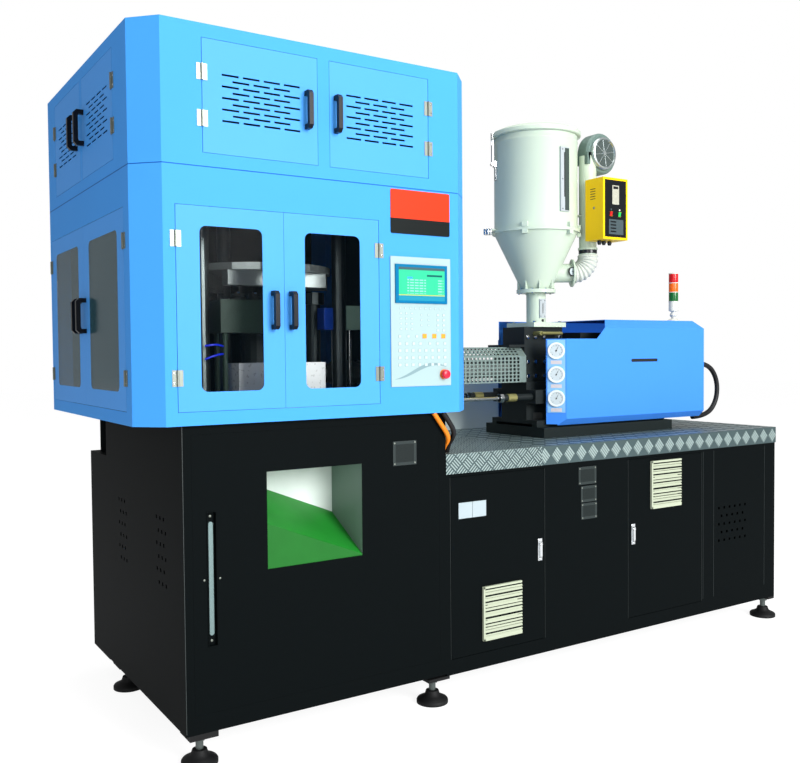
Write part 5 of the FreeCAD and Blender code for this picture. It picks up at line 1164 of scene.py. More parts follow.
@dataclass
class LongBase:
    """Black base under the injection unit with its tread plates and two vented doors."""

    front: float = -0.060
    doors: tuple = ("base_door_left", "base_door_right")
    grilles: tuple = (
        ("base_door_left", 1.407, 0.261), ("base_door_right", 2.579, 0.785),
    )
    grille_wide: float = 0.240
    grille_high: float = 0.262
    grille_rim: float = 0.009
    grille_out: float = 0.0125
    grille_deep: float = 0.004
    lip: float = 0.001
    slats: int = 16
    slat: tuple = ((0.0, 0.0), (0.0130, -0.0004), (0.0120, 0.0045))
    slat_tip: tuple = (0.0030, 0.97)
    splash: tuple = ((1.3575, 1.0203, 1.3752), (2.700, 1.0223, 1.472))
    lock_half: float = 0.0135
    lock_thick: float = 0.0053
    lock_margin: float = 0.017
    key_cap_up: float = 0.011
    lever_cap_down: float = 0.012
    lever_start: float = 0.004
    label_at: tuple = (1.268, 0.868)
    label_size: tuple = (0.081, 0.076, 0.0012)
    label_pitch: float = 0.083
    worn: float = 0.0005
    door_gaps: tuple = (-0.0045, 0.0035, 0.0012)
    sheet_edges: tuple = (3.018, 3.111, 3.583)
    sheet_edge_wide: float = 0.0015
    sheet_levels: tuple = (0.215, 1.070)

    def build(self) -> None:
        """Finish the base and make its grilles, locks and plates."""
        dress(BASE_PAINT, "injection_base", *self.doors)
        dress(TREAD, "deck_plates")
        # The rear sheet's near-white paint is partly painted light.
        dress(BACK_SHEET_PAINTED_LIGHT, "rear_sheet")
        self.splash_sheet()
        for door, left, low in self.grilles:
            self.grille(door, left, low)
        for door in self.doors:
            self.lock(door)
        self.label()
        self.seams()

    def splash_sheet(self) -> None:
        """The upper part of the sheet that stands behind the guard."""
        # The same near-white paint, partly painted light.
        form = Form(BACK_SHEET_PAINTED_LIGHT)
        form.block(*self.splash)
        form.piece("splash_sheet", "frame")

    def seams(self) -> None:
        """Worn edges of the sheets beside the doors."""
        form = Form(EDGE_GREY)
        near = self.front - self.worn
        before, after, wide = self.door_gaps
        for door in self.doors:
            low, high = corners(door)
            for edge in (low.x + before, high.x + after):
                form.block((edge, near, low.z), (edge + wide, self.front, high.z))
        low, high = self.sheet_levels
        for edge in self.sheet_edges:
            form.block((edge, near, low), (edge + self.sheet_edge_wide, self.front, high))
        form.piece("sheet_edges", "frame")

    def grille(self, door: str, left: float, low: float) -> None:
        """Cream frame with sixteen slats that lean out over each other.

        Args:
            door: The door that it is on.
            left: Its left side.
            low: Its lower side.
        """
        form = Form(VENT_CREAM)
        rim, lip, front = self.grille_rim, self.lip, self.front
        face = front - self.grille_out
        right, high = left + self.grille_wide, low + self.grille_high
        form.block((left - lip, face, low - lip), (left + rim, front, high))
        form.block((left, face, low - lip), (right, front, low + rim))
        form.block((left, face, high - rim), (right, front, high + lip))
        form.block((left + rim, front - self.grille_deep, low + rim), (right, front, high - rim))
        step = (self.grille_high - 2 * rim) / self.slats
        out, share = self.slat_tip
        for index in range(self.slats):
            form.extrude((*self.slat, (out, step * share)),
                         (right + lip, front, low + rim + index * step), FRONT, UP,
                         self.grille_wide - rim)
        form.piece("vent_grille_" + door.split("_")[-1], door)

    def lock(self, door: str) -> None:
        """Bright plate of a swing-handle lock, its lever and key cap.

        Args:
            door: The door that it is on.
        """
        side = door.split("_")[-1]
        low, high = corners("lock_lever_" + side)
        middle, face = (low.x + high.x) / 2, self.front - self.lock_thick
        start, end = low.z - self.lock_margin, high.z + self.lock_margin
        plate = Form(CHROME)
        plate.block((middle - self.lock_half, face, start),
                    (middle + self.lock_half, self.front, end))
        plate.heads(Head.KEY_CAP, [(middle, face, start + self.key_cap_up)], sides=20)
        plate.piece("lock_plate_" + side, door, soften=0.001)
        lever = Form(CHROME)
        lever.block((low.x, low.y, low.z + self.lever_start), high)
        lever.heads(Head.LEVER_CAP, [(middle, low.y + SKIN, high.z - self.lever_cap_down)],
                    sides=20)
        lever.piece("lock_handle_" + side, "lock_lever_" + side,
                    replaces=["lock_lever_" + side], soften=0.002)

    def label(self) -> None:
        """Bare white plate in two halves on the left door."""
        form = Form(LABEL_WHITE)
        left, low = self.label_at
        wide, high, thick = self.label_size
        for start in (left, left + self.label_pitch):
            form.block((start, self.front - thick, low), (start + wide, self.front, low + high))
        form.piece("door_plate", "base_door_left")


# ---- press in the cabinet


@dataclass
class Press:
    """Clamp, table, moulds and tooling behind the windows."""

    foot_top: float = 1.430
    fitting_shares: tuple = (0.25, 0.45, 0.75)
    fitting_back: float = 0.045
    fitting: tuple = ((0.034, 0), (0.034, 0.012), (0.028, 0.016), (0.028, 0.028))
    fitting_nut: tuple = ((0.010, 0.028), (0.010, 0.036))
    tube_start: tuple = (0.086, 0.100)
    tube_run: tuple = (0.094, 0.03)
    tube_bow: tuple = (0.020, 0.006)
    tube_levels: tuple = ((1.694, 0.002), (1.638, -0.022))
    tube_steps: int = 20
    tube_radius: float = 0.0045
    station_box: tuple = (0.700, 0.890, 0.190, 0.270, 1.768, 1.880)
    station_split: float = 0.080
    station_gap: float = 0.002
    station_step: tuple = (0.010, 0.012)
    station_rods: tuple = (0.060, 0.150)
    station_rod: float = 0.008

    def build(self) -> None:
        """Finish the castings and add bolts and air tubes."""
        dress(BEAM_PAINT, "press_foot", "crown")
        dress(POST_STEEL, "tie_bars")
        dress(CAST_DARK, "clamp_platen")
        dress(MACHINED, "stretch_head", "index_table")
        dress(MOULD_STEEL, "blow_mould_left", "blow_mould_right")
        dress(BLOCK_PAINT, "preform_mould", "blow_bridge")
        self.bridge_plate()
        self.tubes()
        self.station()

    def bridge_plate(self) -> None:
        """Dark fittings along the top of the bridge beam."""
        form = Form(CAST_DARK, POLISHED)
        low, high = corners("blow_bridge")
        for share in self.fitting_shares:
            spot = (low.x + share * (high.x - low.x), low.y + self.fitting_back, high.z)
            form.turn(self.fitting, spot, sides=28)
            form.turn(self.fitting_nut, spot, sides=6, mark=1)
        form.piece("bridge_fittings", "frame")

    def tubes(self) -> None:
        """Two blue air tubes that curve between the left post and the bridge post."""
        form = Form(AIR_BLUE)
        (x, y), (across, back), (out, lift) = self.tube_start, self.tube_run, self.tube_bow
        for level, drop in self.tube_levels:
            shares = [step / self.tube_steps for step in range(self.tube_steps + 1)]
            form.sweep([(x + across * share,
                         y - out * math.sin(share * math.pi) + back * share,
                         level - drop * share + lift * math.sin(share * math.pi))
                        for share in shares], self.tube_radius, 10)
        form.piece("air_tubes", "frame")

    def station(self) -> None:
        """Green block and blue post on two bright rods, right of the moulds."""
        form = Form(STATION_GREEN, POST_BLUE, POLISHED)
        left, right, deep, back, low, high = self.station_box
        split, (inset, drop) = left + self.station_split, self.station_step
        form.block((split + self.station_gap, deep, low), (right, back, high))
        form.block((left, deep + inset, low), (split, back, high - drop), 1)
        for rod in self.station_rods:
            spot, middle = left + rod, (deep + back) / 2
            form.rod((spot, middle, self.foot_top), (spot, middle, low), self.station_rod, 16, 2)
        form.piece("heat_station", "frame", soften=0.002)


# ---- injection unit


@dataclass
class InjectionUnit:
    """Carriage, barrel and guard, and the blue drive cover with its gauges."""

    unit: str = "injection_unit"
    corner_out: tuple = (-math.sqrt(0.5), -math.sqrt(0.5), 0)
    corner_side: tuple = (math.sqrt(0.5), -math.sqrt(0.5), 0)
    gauge_at: tuple = (2.1715, 0.2495)
    gauge_low: float = 1.397
    gauge_pitch: float = 0.132
    gauge_count: int = 3
    gauge_radius: float = 0.047
    gauge_thick: float = 0.0085
    rim_rise: float = 0.004
    rim_insets: tuple = (0.002, 0.011, 0.012)
    dial_rise: float = 0.001
    print_rise: float = 0.0012
    ticks: int = 11
    tick_from: float = 225.0
    tick_pitch: float = 27.0
    tick_inner: tuple = (0.52, 0.58)
    tick_outer: float = 0.68
    tick_radius: float = 0.0009
    needle_slant: float = 0.5
    needle_back: float = 0.008
    needle_reach: float = 0.5
    needle_radius: float = 0.0012
    needle_hub: tuple = ((0.004, 0), (0.004, 0.002))
    strip_half: float = 0.049
    strip_levels: tuple = (1.318, 1.722)
    strip_out: float = 0.0016
    plate_half: float = 0.030
    plate_levels: tuple = (-0.074, -0.054)
    plate_out: float = 0.0024
    sheet: float = 0.0014
    slot_box: tuple = ((2.70, 0.2140, 1.580), (2.97, 0.2160, 1.622))
    hood: tuple = (
        (0.7845, 1.776), (0.7865, 1.776), (0.7865, 1.7905), (0.7425, 1.8345),
        (0.7410, 1.8330), (0.7845, 1.7897),
    )
    hood_left: float = 2.450
    hood_long: float = 0.690
    guard_box: tuple = (1.180, 2.068, 0.380, 0.620)
    guard_levels: tuple = (1.487, 1.633, 1.683, 0.050, 0.002)
    guard_pitch: float = 0.027
    guard_gap: float = 0.016
    guard_tail: float = 0.045
    guard_end: float = 0.030
    wall_rows: tuple = (7, 0.0135)
    slope_rows: tuple = (3, 0.0105)
    throat_face: float = 0.405
    bolt_columns: tuple = (2.095, 2.150, 2.215, 2.330)
    bolt_levels: tuple = (1.52, 1.60, 1.74)
    pipe: tuple = (2.15, 2.30, 0.060, 1.76)
    pipe_radii: tuple = (0.012, 0.009)
    rod_rows: tuple = (0.350, 0.650)
    rod_level: float = 1.405
    union: tuple = ((0.022, 0), (0.022, 0.060))
    union_at: float = 1.90
    union_nut: tuple = ((0.026, 0), (0.026, 0.022))
    union_nut_at: float = 1.846

    def build(self) -> None:
        """Finish the castings and the cover, and draw the gauges."""
        dress(BEAM_PAINT, "slide_base")
        dress(POLISHED, "pull_rods")
        dress(CAST_DARK, "carriage", "feed_throat")
        dress(MACHINED, "barrel")
        dress(COVER_PAINT, "drive_cover")
        self.gauges()
        self.strip()
        self.slot()
        self.guard()
        self.throat()

    def gauges(self) -> None:
        """Three dials with rings, ticks and a needle on the bevelled corner."""
        form = Form(GAUGE_WHITE, GAUGE_RIM, TICK_BLACK)
        out, side, up = (Vector(way) for way in (self.corner_out, self.corner_side, UP))
        radius, thick = self.gauge_radius, self.gauge_thick
        outer, inner, dial = (radius - inset for inset in self.rim_insets)
        top = thick + self.rim_rise
        for index in range(self.gauge_count):
            middle = Vector((*self.gauge_at, self.gauge_low + index * self.gauge_pitch))
            form.turn(((radius, 0), (radius, thick), (outer, top), (inner, top), (dial, thick)),
                      middle, out, 48, 1)
            form.turn(((dial, 0), (dial, thick + self.dial_rise)), middle, out, 48, 0)
            face = middle + out * (thick + self.print_rise)
            for tick in range(self.ticks):
                angle = math.radians(self.tick_from - self.tick_pitch * tick)
                ray = (side * math.cos(angle) + up * math.sin(angle)) * radius
                start = self.tick_inner[0] if tick % 5 == 0 else self.tick_inner[1]
                form.rod(face + ray * start, face + ray * self.tick_outer, self.tick_radius, 6, 2)
            ray = (side * self.needle_slant + up).normalized()
            form.rod(face - ray * self.needle_back, face + ray * radius * self.needle_reach,
                     self.needle_radius, 6, 2)
            form.turn(self.needle_hub, face, out, 16, 2)
        form.piece("pressure_gauges", self.unit)

    def strip(self) -> None:
        """Pale strip behind the gauges, with a bare plate under each."""
        form = Form(STRIP_BLUE, PLATE_ROSE)
        sheets = [(self.strip_half, *self.strip_levels, self.strip_out, 0)]
        for index in range(self.gauge_count):
            low, high = (self.gauge_low + index * self.gauge_pitch + level
                         for level in self.plate_levels)
            sheets.append((self.plate_half, low, high, self.plate_out, 1))
        for half, low, high, rise, mark in sheets:
            form.extrude(((-half, low), (half, low), (half, high), (-half, high)),
                         Vector((*self.gauge_at, 0)) + Vector(self.corner_out) * rise,
                         self.corner_side, UP, self.sheet, mark)
        form.piece("gauge_strip", self.unit)

    def slot(self) -> None:
        """Black sheet behind the cover's sight slot as painted shade for the cover's dark inside,
        and the blue sheet behind its hood, which glows as painted light.
        """
        # Painted shade: a black sheet just behind the slot stands for the dark inside of the
        # cover.
        form = Form(TICK_BLACK)
        form.block(*self.slot_box)
        form.piece("slot_shade_sheet", self.unit)
        # The hood's far sheet glows with its own blue: painted light.
        hood = Form(GLOWING_HOOD_BLUE)
        hood.extrude(self.hood, (self.hood_left, 0, 0), BACK, UP, self.hood_long)
        hood.piece("hood_back", self.unit)

    def guard(self) -> None:
        """Perforated guard: two upright sides, two slopes with rows of holes, a closed top."""
        form = Form(GUARD_STEEL)
        left, right, front, back = self.guard_box
        low, knee, top, inset, thick = self.guard_levels
        for side, near in ((1, front), (-1, back)):
            slope = Vector((0, side * inset, top - knee))
            for level, run, rows in ((low, Vector(UP) * (knee - low), self.wall_rows),
                                     (knee, slope, self.slope_rows)):
                self.lattice(form, Vector((left, near, level)), run, right - left, *rows,
                             side * thick)
        form.block((left, front + inset, top - thick), (right, back - inset, top))
        for x in (left, right - thick):
            form.block((x, front, low), (x + thick, front + self.guard_end, knee))
            form.block((x, back - self.guard_end, low), (x + thick, back, knee))
        form.piece("perforated_guard", self.unit, replaces=["barrel_guard"])

    def lattice(self, form: Form, start: Vector, up: Vector, long: float, rows: int,
                hole: float, thick: float) -> None:
        """One perforated sheet, as bars across and along it.

        Args:
            form: What the bars are added to.
            start: The sheet's lower left corner.
            up: From there to its upper edge.
            long: Its length along X.
            rows: How many rows of holes it has.
            hole: How wide a hole is.
            thick: How thick it is, with the sign of the side that it lies towards.
        """
        high, rise = up.length, up.normalized()
        pitch, wide = self.guard_pitch, self.guard_pitch - self.guard_gap
        bar = (high - rows * hole) / (rows + 1)
        count = int((long - self.guard_tail) / pitch)
        end = count * pitch
        near, far = min(0, thick), max(0, thick)
        home = form.frame
        form.frame = Matrix.Translation(start) @ Matrix(
            ((1, 0, 0, 0), (0, rise.z, rise.y, 0), (0, -rise.y, rise.z, 0), (0, 0, 0, 1))
        )
        for row in range(rows + 1):
            level = row * (bar + hole)
            form.block((0, near, level), (end, far, level + bar))
        for index in range(count):
            form.block((index * pitch, near + SKIN, bar * 0.5),
                       (index * pitch + wide, far - SKIN, high - bar * 0.5))
        form.block((end, near, 0), (long, far, high))
        form.frame = home

    def throat(self) -> None:
        """Bolts and fittings on the feed throat, and the unions of the pull rods."""
        form = Form(CHROME, COPPER_BROWN, BLOCK_PAINT)
        face = self.throat_face
        form.heads(Head.THROAT_BOLT, [(x, face, z) for x in self.bolt_columns
                                      for z in self.bolt_levels], sides=12)
        left, right, reach, level = self.pipe
        thick, thin = self.pipe_radii
        form.rod((left, face, level), (left, face - reach, level), thick, 16, 1)
        form.rod((left, face - reach, level), (right, face - reach, level), thin, 16, 1)
        form.rod((right, face - reach, level), (right, face, level), thin, 16, 1)
        for y in self.rod_rows:
            form.turn(self.union, (self.union_at, y, self.rod_level), RIGHT, 24, 1)
            form.turn(self.union_nut, (self.union_nut_at, y, self.rod_level), RIGHT, 6, 0)
        form.piece("throat_fittings", self.unit)


# ---- hopper dryer


@dataclass
class Hopper:
    """Hopper of the dryer with its lid, clip and clamps."""

    unit: str = "injection_unit"
    x: float = 2.245
    y: float = 0.500
    sides: int = 72
    radius: float = 0.238
    wall: float = 0.004
    gap: float = 0.0003
    flange_radius: float = 0.252
    flange: float = 2.343
    flange_thick: float = 0.008
    rim: float = 2.880
    bead_out: float = 0.002
    bead_levels: tuple = (0.040, 0.037, 0.033, 0.030)
    collar: float = 1.995
    collar_thick: float = 0.020
    collar_radius: float = 0.112
    cone_radii: tuple = (0.084, 0.080)
    outlet: float = 0.040
    ribs: int = 8
    rib_turn: float = 15.0
    rib: tuple = (0.082, 0.109, 0.052)
    rib_half: float = 0.003
    cone_bolt: tuple = (37.5, 0.100, 0.005)
    neck_radius: float = 0.056
    neck_low: float = 1.797
    neck_plate: float = 0.026
    neck_half: float = 0.120
    neck_bolt: float = 0.095
    sight_front: float = 0.2534
    sight_left: float = 0.031
    sight_deep: float = 0.024
    sight_levels: tuple = (2.435, 2.790)
    sight_strip: float = 0.062
    sight_glass: tuple = (0.030, 0.061, 0.0012, 0.006, 0.006)
    sight_scale: tuple = (0.024, 0.031, 0.0013, 0.080, 0.030)
    sight_screw: tuple = (0.013, 0.014)
    slide_levels: tuple = (1.850, 1.960)
    slide_half: float = 0.022
    slide_out: float = 0.003
    slide_in: float = 0.006
    slide_slot: tuple = (0.0035, 0.0038, 0.026)
    slide_screw: tuple = (0.015, 0.010)
    slide_knob: float = 1.836
    stub_level: float = 2.110
    stub_radius: float = 0.054
    stub_reach: tuple = (0.100, 0.215)
    stub_disc: tuple = ((0.080, -0.008), (0.080, 0.0))
    disc_screws: int = 6
    disc_screw: tuple = (0.068, 0.012)
    dial_at: tuple = (0.165, 0.004, 0.050)
    dial_stem: tuple = ((0.012, -0.010), (0.012, 0.012))
    dial_case: tuple = (
        (0.024, 0.010), (0.026, 0.012), (0.026, 0.020), (0.023, 0.022), (0.021, 0.0195),
    )
    dial_face: tuple = ((0.0212, 0.0170), (0.0212, 0.0205))
    dial_needle: tuple = ((-0.008, -0.0210, 0.002), (0.010, -0.0210, -0.001))
    needle_radius: float = 0.0012
    duct_turn: float = -30.0
    lid_profile: tuple = (
        (0.252, 0), (0.257, 0.004), (0.257, 0.023), (0.253, 0.027), (0.240, 0.0285),
        (0.228, 0.036), (0.215, 0.0435), (0.200, 0.045), (0.002, 0.045),
    )
    lid_tongue: tuple = ((2.200, 0.749, 2.890), (2.290, 0.772, 2.900))
    lid_pin: tuple = (0.772, 2.890)
    lid_knuckle: float = 0.010
    lid_pin_radius: float = 0.005
    lid_pin_ends: tuple = ((2.1912, 2.1920), (2.2980, 2.2988))
    lid_cheeks: tuple = (
        ((2.1917, 0.762, 2.8717), (2.1997, 0.782, 2.900)),
        ((2.2903, 0.762, 2.8717), (2.2983, 0.782, 2.900)),
        ((2.1917, 0.736, 2.8717), (2.2983, 0.782, 2.8797)),
    )
    clip_turn: float = 160.0
    clip_pivot: float = 0.2618
    clip_level: float = 2.727
    clip_half: float = 0.017
    clip_pin: float = 0.008
    clip_wire: tuple = (0.011, 0.0036, 0.006)
    clip_bar: tuple = (0.004, 0.015, 0.030)
    clip_tongue: tuple = (0.003, 0.007, 0.012, 0.110)
    ear_span: tuple = (0.236, 0.2535)
    ear_plates: tuple = ((0.237, 0.245, -0.010, 0.006, 1), (0.237, 0.246, 0.006, 0.011, 0))
    ear_drop: float = 0.090
    wheel_at: float = 0.290
    wheel_half: float = 0.017
    wheel_core: float = 0.012
    wheel_lobes: int = 5
    wheel_circle: float = 0.016
    wheel_lobe: tuple = ((0.008, 0), (0.010, 0.003), (0.010, 0.031), (0.008, 0.034))
    wheel_arm: tuple = (0.244, 0.013, 0.0083, 0.0163)
    lug_turns: tuple = (40.0, 215.0, 280.0, 320.0)
    lug: tuple = (0.236, 0.256, 0.016)
    lug_levels: tuple = ((0.0083, 0.036), (-0.030, -0.0083))

    def build(self) -> None:
        """Build the hopper, its lid and what holds them."""
        self.hopper()
        self.lid()
        self.clips()
        self.clamps()

    def around(self, angle: float, radius: float, level: float) -> Vector:
        """A point at an angle and radius about the hopper's axis."""
        turn = math.radians(angle)
        return Vector((self.x + radius * math.cos(turn), self.y + radius * math.sin(turn), level))

    def turned(self, angle: float) -> Matrix:
        """The frame at the hopper's axis that is turned by an angle."""
        spin = Matrix.Rotation(math.radians(angle), 4, "Z")
        return Matrix.Translation(Vector((self.x, self.y, 0))) @ spin

    def hopper(self) -> None:
        """Barrel, cone, neck, flanges and sight glass in place of the plain ones."""
        radius, level, rim, thick = self.radius, self.flange, self.rim, self.flange_thick
        wide, inner, foot = self.flange_radius, radius - self.wall, level + self.gap
        first, second, third, last = (rim - down for down in self.bead_levels)
        bead = radius + self.bead_out
        form = Form(HOPPER_PAINT, POLISHED, SIGHT_GLASS, SIGHT_STRIP, TICK_BLACK, GAUGE_WHITE)
        self.shell(form, (
            (wide, foot), (wide, foot + thick), (radius, foot + thick), (radius, first),
            (bead, second), (bead, third), (radius, last), (radius, rim), (inner, rim),
            (inner, foot),
        ))
        low, plate = self.collar + self.collar_thick, self.neck_low + self.neck_plate
        outside, inside = self.cone_radii
        self.shell(form, (
            (self.collar_radius, self.collar), (self.collar_radius, low), (outside, low),
            (radius, level - thick), (wide, level - thick), (wide, level), (inner, level),
            (inside, low), (self.outlet, self.collar),
        ))
        form.block((self.x - self.neck_half, self.y - self.neck_half, self.neck_low),
                   (self.x + self.neck_half, self.y + self.neck_half, plate))
        form.turn(((self.neck_radius, plate), (self.neck_radius, self.collar)),
                  (self.x, self.y, 0))
        form.heads(Head.NECK_BOLT, [
            (self.x + right * self.neck_bolt, self.y + back * self.neck_bolt, plate)
            for right in (-1, 1) for back in (-1, 1)
        ], UP, 6, 1)
        start, circle_radius, down = self.cone_bolt
        for index in range(self.ribs):
            step = 360.0 / self.ribs * index
            self.gusset(form, self.rib_turn + step)
            form.heads(Head.CONE_BOLT,
                       [self.around(start + step, circle_radius, self.collar - down)], UP, 6, 1)
        self.sight(form)
        self.neck_slide(form)
        self.stub(form)
        form.piece("hopper_shell", self.unit, replaces=["hopper"])

    def shell(self, form: Form, section: Sequence[Point]) -> None:
        """Turn a closed section about the hopper's axis.

        Args:
            form: What the shell is added to.
            section: Radius and level of its corners.
        """
        spots = [(self.x + radius * right, self.y + radius * back, level)
                 for radius, level in section for right, back in circle(self.sides)]
        form.add(spots, walls(len(section), self.sides, True), 0)

    def gusset(self, form: Form, angle: float) -> None:
        """Upright rib between the collar and the cone.

        Args:
            form: What the rib is added to.
            angle: Where it stands around the hopper.
        """
        home = form.frame
        form.frame = self.turned(angle)
        inner, outer, high = self.rib
        low = self.collar + self.collar_thick
        form.extrude(((inner, low), (outer, low), (outer, low + high)), (0, self.rib_half, 0),
                     RIGHT, UP, 2 * self.rib_half)
        form.frame = home

    def sight(self, form: Form) -> None:
        """Sight window on the barrel's front: screwed strip on the left, glass on the right."""
        front, left = self.sight_front, self.x - self.sight_left
        low, high = self.sight_levels
        form.block((left, front, low), (left + self.sight_strip, front + self.sight_deep, high), 3)
        for span, mark in ((self.sight_glass, 2), (self.sight_scale, 4)):
            start, end, rise, up, down = span
            form.block((left + start, front - rise, low + up), (left + end, front, high - down),
                       mark)
        right, edge = self.sight_screw
        form.heads(Head.STRIP_SCREW, [(left + right, front, up) for up in (
            low + edge, (low + high) / 2, high - edge)], mark=1)

    def neck_slide(self, form: Form) -> None:
        """Bare slotted plate on the neck, turned to the front, with a screw in each corner."""
        front = self.y - self.neck_radius
        low, high = self.slide_levels
        half, rise, edge = self.slide_slot
        face = front - self.slide_out
        form.block((self.x - self.slide_half, face, low),
                   (self.x + self.slide_half, front + self.slide_in, high), 3)
        form.block((self.x - half, front - rise, low + edge),
                   (self.x + half, face, high - edge), 1)
        right, up = self.slide_screw
        form.heads(Head.SLIDE_SCREW, [(self.x + side, face, level) for side in (-right, right)
                                      for level in (low + up, high - up)], sides=8, mark=4)
        form.heads(Head.SLIDE_KNOB, [(self.x, front + 0.0005, self.slide_knob)], sides=14, mark=4)

    def stub(self, form: Form) -> None:
        """Hot-air stub of the cone with its disc, screws and dial thermometer."""
        start, end = (self.around(self.duct_turn, reach, self.stub_level)
                      for reach in self.stub_reach)
        way = (end - start).normalized()
        form.rod(start, end, self.stub_radius, 48)
        form.turn(self.stub_disc, end, way, 48)
        ring, back = self.disc_screw
        side = Vector(UP).cross(way)
        for right, up in arc((0, 0), ring, 30, 300, self.disc_screws - 1):
            form.heads(Head.DISC_SCREW, [end + side * right + Vector(UP) * up - way * back], way,
                       8, 1)
        reach, up, out = self.dial_at
        dial = self.around(self.duct_turn, reach, self.stub_level + up) + Vector(FRONT) * out
        form.turn(self.dial_stem, dial, FRONT, 20, 1)
        form.turn(self.dial_case, dial, FRONT, 40, 4)
        form.turn(self.dial_face, dial, FRONT, 40, 5)
        form.rod(*(dial + Vector(spot) for spot in self.dial_needle), self.needle_radius, 6, 4)

    def lid(self) -> None:
        """Flat-domed lid with a rolled edge, and its rear hinge."""
        form = Form(HOPPER_PAINT)
        form.turn(self.lid_profile, (self.x, self.y, self.rim + self.gap), sides=self.sides)
        form.block(*self.lid_tongue)
        left, right = (corner[0] for corner in self.lid_tongue)
        form.rod((left, *self.lid_pin), (right, *self.lid_pin), self.lid_knuckle, 24)
        form.piece("lid_shell", "lid", replaces=["hopper_lid"])
        bracket = Form(HOPPER_PAINT, POLISHED)
        for low, high in self.lid_cheeks:
            bracket.block(low, high)
        for left, right in self.lid_pin_ends:
            bracket.rod((left, *self.lid_pin), (right, *self.lid_pin), self.lid_pin_radius, 16, 1)
        bracket.piece("lid_bracket", self.unit)

    def clips(self) -> None:
        """Toggle clip in place of the plain one, and its ear."""
        high = corners("lid_clip")[1].z
        pivot, level, half = self.clip_pivot, self.clip_level, self.clip_half
        lever = Form(POLISHED, HANDLE_BLACK)
        lever.frame = self.turned(self.clip_turn)
        lever.rod((pivot, -half, level), (pivot, half, level), self.clip_pin, 20)
        apart, thin, down = self.clip_wire
        for side in (-apart, apart):
            lever.rod((pivot, side, level), (pivot, side, high - down), thin, 10)
        deep, wide, down = self.clip_bar
        lever.block((pivot - deep, -wide, high - down), (pivot + deep, wide, high))
        deep, wide, start, end = self.clip_tongue
        lever.block((pivot - deep, -wide, level + start), (pivot + deep, wide, level + end))
        lever.piece("clip_lever", "clip", replaces=["lid_clip"])
        ear = Form(POLISHED, HANDLE_BLACK)
        ear.frame = self.turned(self.clip_turn)
        near, far = self.ear_span
        ear.block((near, -half, level - half), (far, half, level + half))
        for near, far, left, right, mark in self.ear_plates:
            ear.block((near, left, level - self.ear_drop), (far, right, level - half), mark)
        ear.piece("clip_ear", self.unit, soften=0.001)

    def clamps(self) -> None:
        """Star-shaped hand wheel on the flange, and square lugs around the flanges."""
        form = Form(POLISHED, HOPPER_PAINT)
        form.frame = self.turned(self.clip_turn)
        level, at, half = self.flange, self.wheel_at, self.wheel_half
        form.rod((at, 0, level - half), (at, 0, level + half), self.wheel_core, 20)
        for right, back in circle(self.wheel_lobes):
            spot = (at + self.wheel_circle * right, self.wheel_circle * back, level - half)
            form.turn(self.wheel_lobe, spot, sides=14)
        near, wide, low, high = self.wheel_arm
        form.block((near, -wide, level + low), (at, wide, level + high), 1)
        form.piece("flange_clamp", self.unit)
        lugs = Form(HOPPER_PAINT)
        near, far, wide = self.lug
        for angle in self.lug_turns:
            lugs.frame = self.turned(angle)
            for low, high in self.lug_levels:
                lugs.block((near, -wide, level + low), (far, wide, level + high))
        lugs.piece("flange_lugs", self.unit, soften=0.001)


